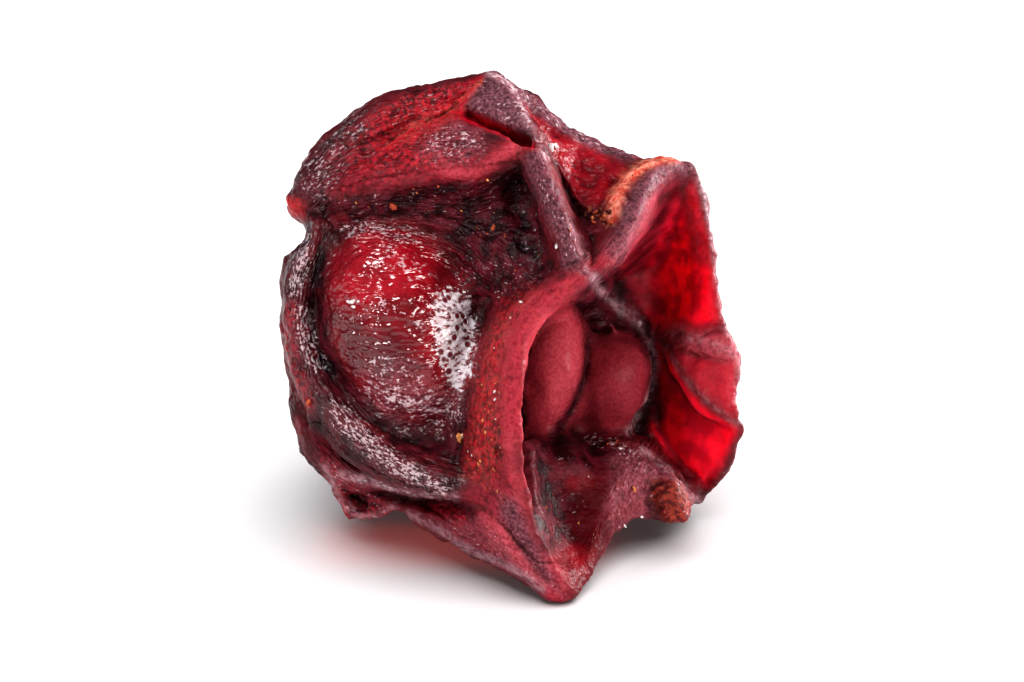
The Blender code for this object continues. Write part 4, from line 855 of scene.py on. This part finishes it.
def dried_skin_material():
    """Dried fruit skin: thin, leathery and waxy, so it is glossy and wine red where stretched, matt and dusty on its
    rims and folds, and red all through where it is one thin wall. Its colour also carries painted shade in the
    creases, hollows and recess, painted highlights and sheen on rims, dome and pitted patch, and a painted glow in the
    thin walls."""
    made, tree, surface = new_material("dried_fruit_skin")
    place = add(tree, "TexCoord").outputs["Object"]
    flow = add(tree, "Attribute", {"attribute_name": "flow"}).outputs["Vector"]
    kept = {name: add(tree, "Attribute", {"attribute_name": name}).outputs["Fac"]
            for name in (*FINISH_AREAS, "hollow", "thin", "proud", "crease", "grain", "coat", "matt", "through",
                         "lively", "gleams")}
    pattern, raw = {}, {}
    for name, (size, detail, low, high) in PATTERNS.items():
        raw[name] = add(tree, "TexNoise", {"Scale": 1 / (size * MM), "Detail": detail, "Roughness": 0.55,
                                           "Vector": place})
        pattern[name] = add(tree, "MapRange", {"interpolation_type": "SMOOTHSTEP", "From Min": low, "From Max": high,
                                               "Value": raw[name]})

    # Fine relief: streaks that run along the grain of each fold, and ripples elsewhere, both finer than the mesh
    streaks = add(tree, "TexNoise", {"Scale": 3.2, "Detail": 3.0, "Roughness": 0.65, "Vector": flow})
    lying = add(tree, "Mapping", {"Scale": (0.5, 1.0, 1.25), "Vector": place})
    ripples = add(tree, "TexNoise", {"Scale": 1 / (RIPPLE * MM), "Detail": 3.0, "Roughness": 0.6, "Vector": lying})
    fine = add(tree, "Mix", {"data_type": "FLOAT", 0: kept["grain"], 2: ripples, 3: streaks})
    dimples = add(tree, "TexNoise", {"Scale": 1 / (DIMPLE * MM), "Detail": 1.0, "Roughness": 0.5, "Vector": lying})
    drawn = add(tree, "TexNoise", {"Scale": 2.0, "Detail": 1.0, "Roughness": 0.5, "Vector": flow})
    swells = add(tree, "Mix", {"data_type": "FLOAT", 0: kept["grain"], 2: dimples, 3: drawn})
    cells = add(tree, "TexVoronoi", {"feature": "F1", "Scale": 1 / (PIT * MM), "Vector": place})
    walls = add(tree, "MapRange", {"interpolation_type": "SMOOTHSTEP", "From Min": 0.24, "From Max": 0.42,
                                   "Value": cells})
    pits = add(tree, "Math", {"operation": "SUBTRACT", 0: 1.0, 1: walls})
    pits = add(tree, "Math", {"operation": "MULTIPLY", 0: pits, 1: kept["pitted"]})

    colour = None
    for low, high, between, cover in LAYERS:
        tone = add(tree, "Mix", {"data_type": "RGBA", 0: pattern[between], 6: linear(low), 7: linear(high)}).outputs[2]
        if colour is not None:
            tone = add(tree, "Mix", {"data_type": "RGBA", 0: kept[cover], 6: colour, 7: tone}).outputs[2]
        colour = tone
    # the dark grit of dried skin
    grains = add(tree, "MapRange", {"From Min": 0.46, "From Max": 0.34, "To Max": 0.3, "Value": raw["grit"]})
    grains = add(tree, "Math", {"operation": "MULTIPLY", 0: grains, 1: kept["lively"]})
    # pale flecks, partly waxy bloom and partly painted glints, closer together where the skin gleams more, with the
    # pits left dark
    bloom_and_glints = fine
    for more, strength in ((kept["gleam"], 0.36), (raw["grit"], 0.8), (pits, -0.25)):
        bloom_and_glints = add(tree, "Math", {"operation": "MULTIPLY_ADD", 0: more, 1: strength, 2: bloom_and_glints})
    bloom_and_glints = add(tree, "MapRange", {"interpolation_type": "SMOOTHSTEP", "From Min": 1.13, "From Max": 1.29,
                                    "To Max": 0.75, "Value": bloom_and_glints})
    bloom_and_glints = add(tree, "Math", {"operation": "MULTIPLY", 0: bloom_and_glints, 1: kept["gleams"]})
    # a painted nearly white highlight on the pitted patch, broken by round dark pits
    pitted_highlight = add(tree, "Math", {"operation": "MULTIPLY_ADD", 0: kept["pitted"], 1: 0.5, 2: fine})
    pitted_highlight = add(tree, "MapRange", {"interpolation_type": "SMOOTHSTEP", "From Min": 0.86, "From Max": 1.02,
                                   "To Max": 0.85, "Value": pitted_highlight})
    for share, code in ((grains, "#1c0406"), (bloom_and_glints, "#cbb4ba"), (pitted_highlight, "#ddd2d7"), (pits, "#661c26")):
        colour = add(tree, "Mix", {"data_type": "RGBA", 0: share, 6: colour, 7: linear(code)}).outputs[2]

    rough = add(tree, "MapRange", {"To Min": 0.40, "To Max": 0.54, "Value": raw["blotch"]})
    rough = add(tree, "Math", {"operation": "MULTIPLY_ADD", 0: kept["matt"], 1: 0.14, 2: rough})
    height = add(tree, "Math", {"operation": "MULTIPLY", 0: swells, 1: kept["lively"]})
    height = add(tree, "Math", {"operation": "MULTIPLY_ADD", 0: pits, 1: -0.35, 2: height})
    rubble = add(tree, "Math", {"operation": "MULTIPLY_ADD", 0: kept["gritty"], 1: 0.7, 2: 0.05})
    height = add(tree, "Math", {"operation": "MULTIPLY_ADD", 0: rubble, 1: raw["ragged"], 2: height})
    relief = add(tree, "Bump", {"Strength": 1.0, "Distance": RELIEF * MM, "Height": height})
    # wax is a clear coat where the skin is stretched and dark, and light spreads red inside the thin skin
    surface.subsurface_method = "RANDOM_WALK"
    add(tree, surface, {
        "Base Color": colour, "Roughness": rough, "Normal": relief, "IOR": 1.45, "Specular IOR Level": 0.14,
        "Coat Weight": kept["coat"], "Coat Roughness": 0.10, "Coat IOR": 1.5, "Coat Normal": relief,
        "Subsurface Weight": kept["through"], "Subsurface Radius": (1.0, 0.12, 0.09), "Subsurface Scale": 0.4 * MM})
    return made


def crumb_material():
    """Crumbs of dried pulp and seed coat: dry and matt, from brown through ochre and orange to nearly white."""
    made, tree, surface = new_material("dried_pulp_crumbs")
    place = add(tree, "TexCoord").outputs["Object"]
    tone = add(tree, "Attribute", {"attribute_name": "tone"}).outputs["Fac"]
    mottle = add(tree, "TexNoise", {"Scale": 1 / (CRUMB_MOTTLE * MM), "Detail": 2.0, "Vector": place})
    ramp = add(tree, "ValToRGB", {"Fac": tone})
    for place_on_ramp, code in ((0.3, "#7a3420"), (0.6, "#cc5634"), (0.8, "#dc9458")):
        ramp.color_ramp.elements.new(place_on_ramp).color = linear(code)
    ramp.color_ramp.elements[0].color = linear("#3a170f")
    ramp.color_ramp.elements[-1].color = linear("#f2eaea")
    shade = add(tree, "MapRange", {"From Min": 0.35, "From Max": 0.65, "To Min": 0.0, "To Max": 0.5, "Value": mottle})
    colour = add(tree, "Mix", {"data_type": "RGBA", 0: shade, 6: ramp, 7: linear("#4a1512")}).outputs[2]
    bump = add(tree, "Bump", {"Strength": 0.6, "Distance": CRUMB_RELIEF * MM, "Height": mottle})
    add(tree, surface, {"Base Color": colour, "Roughness": 0.6, "Specular IOR Level": 0.3, "Normal": bump})
    return made


def floor_material():
    """A plain matt white card."""
    made, tree, surface = new_material("white_card")
    add(tree, surface, {"Base Color": linear("#f4f2f3"), "Roughness": 0.8, "Specular IOR Level": 0.2,
                        "Emission Color": (1, 1, 1, 1), "Emission Strength": 0.03})
    return made


# Crumbs

# Crumbs seen one by one: across, up, half its length, and its tone from brown through orange to white
# the four nearly white crumbs at -2.4 .45 stand for a painted T-shaped glint on the dome
CRUMBS = ("-1.8 1.87 .07 .45, -.3 1.55 .05 .62, -.8 -1.55 .07 .8, 1.8 -2.35 .05 .75, 1.6 -1.75 .035 1, "
        "1.65 -2.88 .035 1, 1.92 -2.76 .035 1, .55 2.75 .07 1, .62 2.79 .05 1, 1.12 1.8 .06 .3, 1.06 1.74 .04 .1, "
        "1.16 1.68 .045 .75, 1.24 1.7 .05 .2, 1.33 1.7 .045 .7, 1.36 1.62 .05 .1, 1.2 1.76 .05 .45, "
        "1.28 1.78 .07 .15, 1.4 1.76 .06 .1, 1.3 1.64 .05 .35, 1.18 1.62 .04 .6, 1.42 1.62 .06 .55, .62 1.25 .04 1, "
        "-2.36 .46 .05 1, -2.28 .46 .035 1, -2.43 .46 .035 1, -2.35 .38 .035 1, -3.04 -1.03 .05 .62, "
        "-.75 -1.5 .05 .85, .35 0 .03 .62")
SCATTERED = 120         # crumbs strewn where the skin is marked as crumbed
SCATTER_SEED = 11
STREWN_SIZES = (0.012, 0.030)
FLATTENING = 0.7        # a crumb's breadth to its length
STAND_OFF = 0.2         # how far a crumb's middle is from the skin, to its size
EYE_AWAY = -12          # where the rays that find the seen crumbs start, and how long they are
EYE_REACH = 30


def crumb_tree(material):
    """Geometry nodes: a rough crumb on every point, turned at random, as large as the point's own size."""
    made = bpy.data.node_groups.new("crumbs", "GeometryNodeTree")
    for name, way, kind in (("Points", "INPUT", "Geometry"), ("Flattening", "INPUT", "Float"),
                            ("Crumbs", "OUTPUT", "Geometry")):
        made.interface.new_socket(name, in_out=way, socket_type="NodeSocket" + kind)
    given = add(made, "NodeGroupInput")
    ball = add(made, "GeometryNodeMeshIcoSphere", {"Radius": 1.0, "Subdivisions": 2})
    lumps = add(made, "TexNoise", {"Scale": 1.9, "Detail": 3.0, "Roughness": 0.8}).outputs["Color"]
    shift = add(made, "VectorMath", {"operation": "MULTIPLY_ADD", 0: lumps, 1: (2.4, 2.4, 2.4), 2: (-1.2, -1.2, -1.2)})
    rough = add(made, "GeometryNodeSetPosition", {"Geometry": ball, "Offset": shift})
    points = add(made, "GeometryNodeMeshToPoints", {"Mesh": given.outputs["Points"]})
    size = add(made, "GeometryNodeInputNamedAttribute", {"data_type": "FLOAT", "Name": "size"})
    turn = add(made, "FunctionNodeRandomValue", {"data_type": "FLOAT_VECTOR", 1: (6.28, 6.28, 6.28), "Seed": 5})
    slim = add(made, "CombineXYZ", {"X": 1.0, "Y": given.outputs["Flattening"], "Z": 0.55})
    scale = add(made, "VectorMath", {"operation": "SCALE", 0: slim, "Scale": size})
    placed = add(made, "GeometryNodeInstanceOnPoints", {"Points": points, "Instance": rough, "Rotation": turn,
                                                        "Scale": scale})
    real = add(made, "GeometryNodeRealizeInstances", {"Geometry": placed})
    painted = add(made, "GeometryNodeSetMaterial", {"Material": material, "Geometry": real})
    add(made, "NodeGroupOutput", {"Crumbs": painted})
    return made


def crumbs(skin):
    """Crumbs caught on the skin: the ones seen singly, and smaller ones strewn on the rough places."""
    mesh = skin.data
    count = len(mesh.vertices)
    points, normals = np.empty((count, 3), np.float32), np.empty((count, 3), np.float32)
    marked = np.empty(count, np.float32)
    mesh.vertices.foreach_get("co", points.ravel())
    mesh.vertex_normals.foreach_get("vector", normals.ravel())
    mesh.attributes["crumbed"].data.foreach_get("value", marked)
    points = points.astype(float) / MM + ORIGIN
    tree = BVHTree.FromPolygons(points.tolist(), [p.vertices[:] for p in mesh.polygons])
    laid = []           # place, size and tone of each
    for across, up, size, tone in rows(CRUMBS).tolist():
        found, normal, _, _ = tree.ray_cast(seen(across, up, EYE_AWAY), seen(0, 0, 1), EYE_REACH)
        if found is not None:
            laid.append((found + normal * size * STAND_OFF, size, tone))
    chance = np.random.RandomState(SCATTER_SEED)
    weight = np.where(marked > FAINT_GRAIN, marked, 0).astype(float) ** 1.5
    for n in chance.choice(count, SCATTERED, replace=False, p=weight / weight.sum()).tolist():
        size = chance.uniform(*STREWN_SIZES)
        tone = chance.choice([0.15, 0.3, 0.45, 0.6, 0.8, 1.0], p=[0.15, 0.2, 0.25, 0.25, 0.1, 0.05])
        laid.append((Vector(points[n]) + Vector(normals[n].astype(float)) * size * STAND_OFF, size, tone))
    places, sizes, tones = zip(*laid)
    seeds = bpy.data.meshes.new("crumb_places")
    seeds.from_pydata(((np.array(places) - ORIGIN) * MM).tolist(), [], [])
    for name, values in (("size", np.array(sizes) * MM), ("tone", tones)):
        seeds.attributes.new(name, "FLOAT", "POINT").data.foreach_set("value", np.array(values, np.float32))
    made = new_object("crumbs", seeds)
    strewn = made.modifiers.new("crumbs", "NODES")
    strewn.node_group = crumb_tree(crumb_material())
    for socket in strewn.node_group.interface.items_tree:
        if socket.name == "Flattening":
            strewn[socket.identifier] = FLATTENING
    as_mesh(made)
    return made


# The setting

MIDDLE = (0, 0, 3.3)            # what the lamps point at, in millimetres
SHADOW = (-0.8, -1.5, 0)        # the middle of the red light under the berry
LAMPS = (
    # name, direction (right, back, up), distance, width and height in millimetres, power, colour, what it falls on
    ("top", (-0.35, 0.1, 1.0), 70, 14, 14, 0.020, "#ffffff", "berry"),
    ("table", (0.12, 0.1, 1.0), 80, 150, 150, 0.185, "#ffffff", "floor"),
    ("right", (0.66, -0.66, 0.32), 60, 18, 24, 0.029, "#fffaf5", "berry"),
    ("left", (-0.95, -0.24, 0.25), 60, 6, 6, 0.003, "#ffffff", "berry"),
    ("fill", (-0.66, -0.70, 0.28), 60, 9, 12, 0.013, "#ffffff", "berry"),
    ("front", (-0.4, -0.6, 1.2), 60, 9, 9, 0.011, "#ffffff", "berry"),
    ("behind", (1.0, 0.45, 0.22), 60, 22, 22, 0.070, "#ffffff", "berry"),
    ("through", (0, 0, 1), 0.32, 4.4, 1.5, 3.6e-6, "#ff3326", "floor"),
)
SKY = 0.09


def turned_to(made, place, target):
    made.location = place
    made.rotation_mode = "QUATERNION"
    made.rotation_quaternion = (Vector(place) - Vector(target)).to_track_quat("Z", "Y")


def studio(pieces):
    """Floor, sky, lights and camera."""
    body = bmesh.new()
    bmesh.ops.create_grid(body, x_segments=1, y_segments=1, size=0.5)
    floor = new_object("floor", new_mesh("floor", body))
    floor.location = (0, 0, -0.00001)
    floor.data.materials.append(floor_material())
    lit = {"berry": pieces, "floor": (floor,)}
    receivers = {name: bpy.data.collections.new("on_the_" + name) for name in lit}
    for name, objects in lit.items():
        for piece in objects:
            receivers[name].objects.link(piece)
    for name, way, distance, width, height, power, tint, falls_on in LAMPS:
        lamp = bpy.data.lights.new(name, "AREA")
        lamp.shape = "RECTANGLE"
        lamp.size = width * MM
        lamp.size_y = height * MM
        lamp.energy = power
        lamp.color = linear(tint)[:3]
        made = new_object(name, lamp)
        target = Vector(SHADOW if name == "through" else MIDDLE) * MM
        turned_to(made, target + Vector(way).normalized() * distance * MM, target)
        made.visible_camera = False
        made.light_linking.receiver_collection = receivers[falls_on]
    sky = bpy.data.worlds.new("studio")
    sky.use_nodes = True
    add(sky.node_tree, sky.node_tree.nodes["Background"], {"Color": (1, 1, 1, 1), "Strength": SKY})
    bpy.context.scene.world = sky
    lens = bpy.data.cameras.new("camera")
    lens.lens = LENS
    lens.sensor_width = SENSOR
    lens.clip_start = 0.001
    lens.clip_end = 2
    camera = new_object("camera", lens)
    aim = (seen(*AIM) - Vector(ORIGIN)) * MM
    width = FRAME_HEIGHT * PICTURE[0] / PICTURE[1]
    distance = width * LENS / SENSOR * MM
    turned_to(camera, aim - seen(0, 0, 1) * distance, aim)
    bpy.context.scene.camera = camera
    bpy.context.scene.view_settings.view_transform = "Standard"
    bpy.context.scene.view_settings.look = "Medium High Contrast"


def main():
    skin = finished_skin()
    skin.data.materials.clear()
    skin.data.materials.append(dried_skin_material())
    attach(skin, "root")
    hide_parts("berry")
    strewn = crumbs(skin)
    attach(strewn, "root")
    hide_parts("berry")
    studio((skin, strewn))


main()
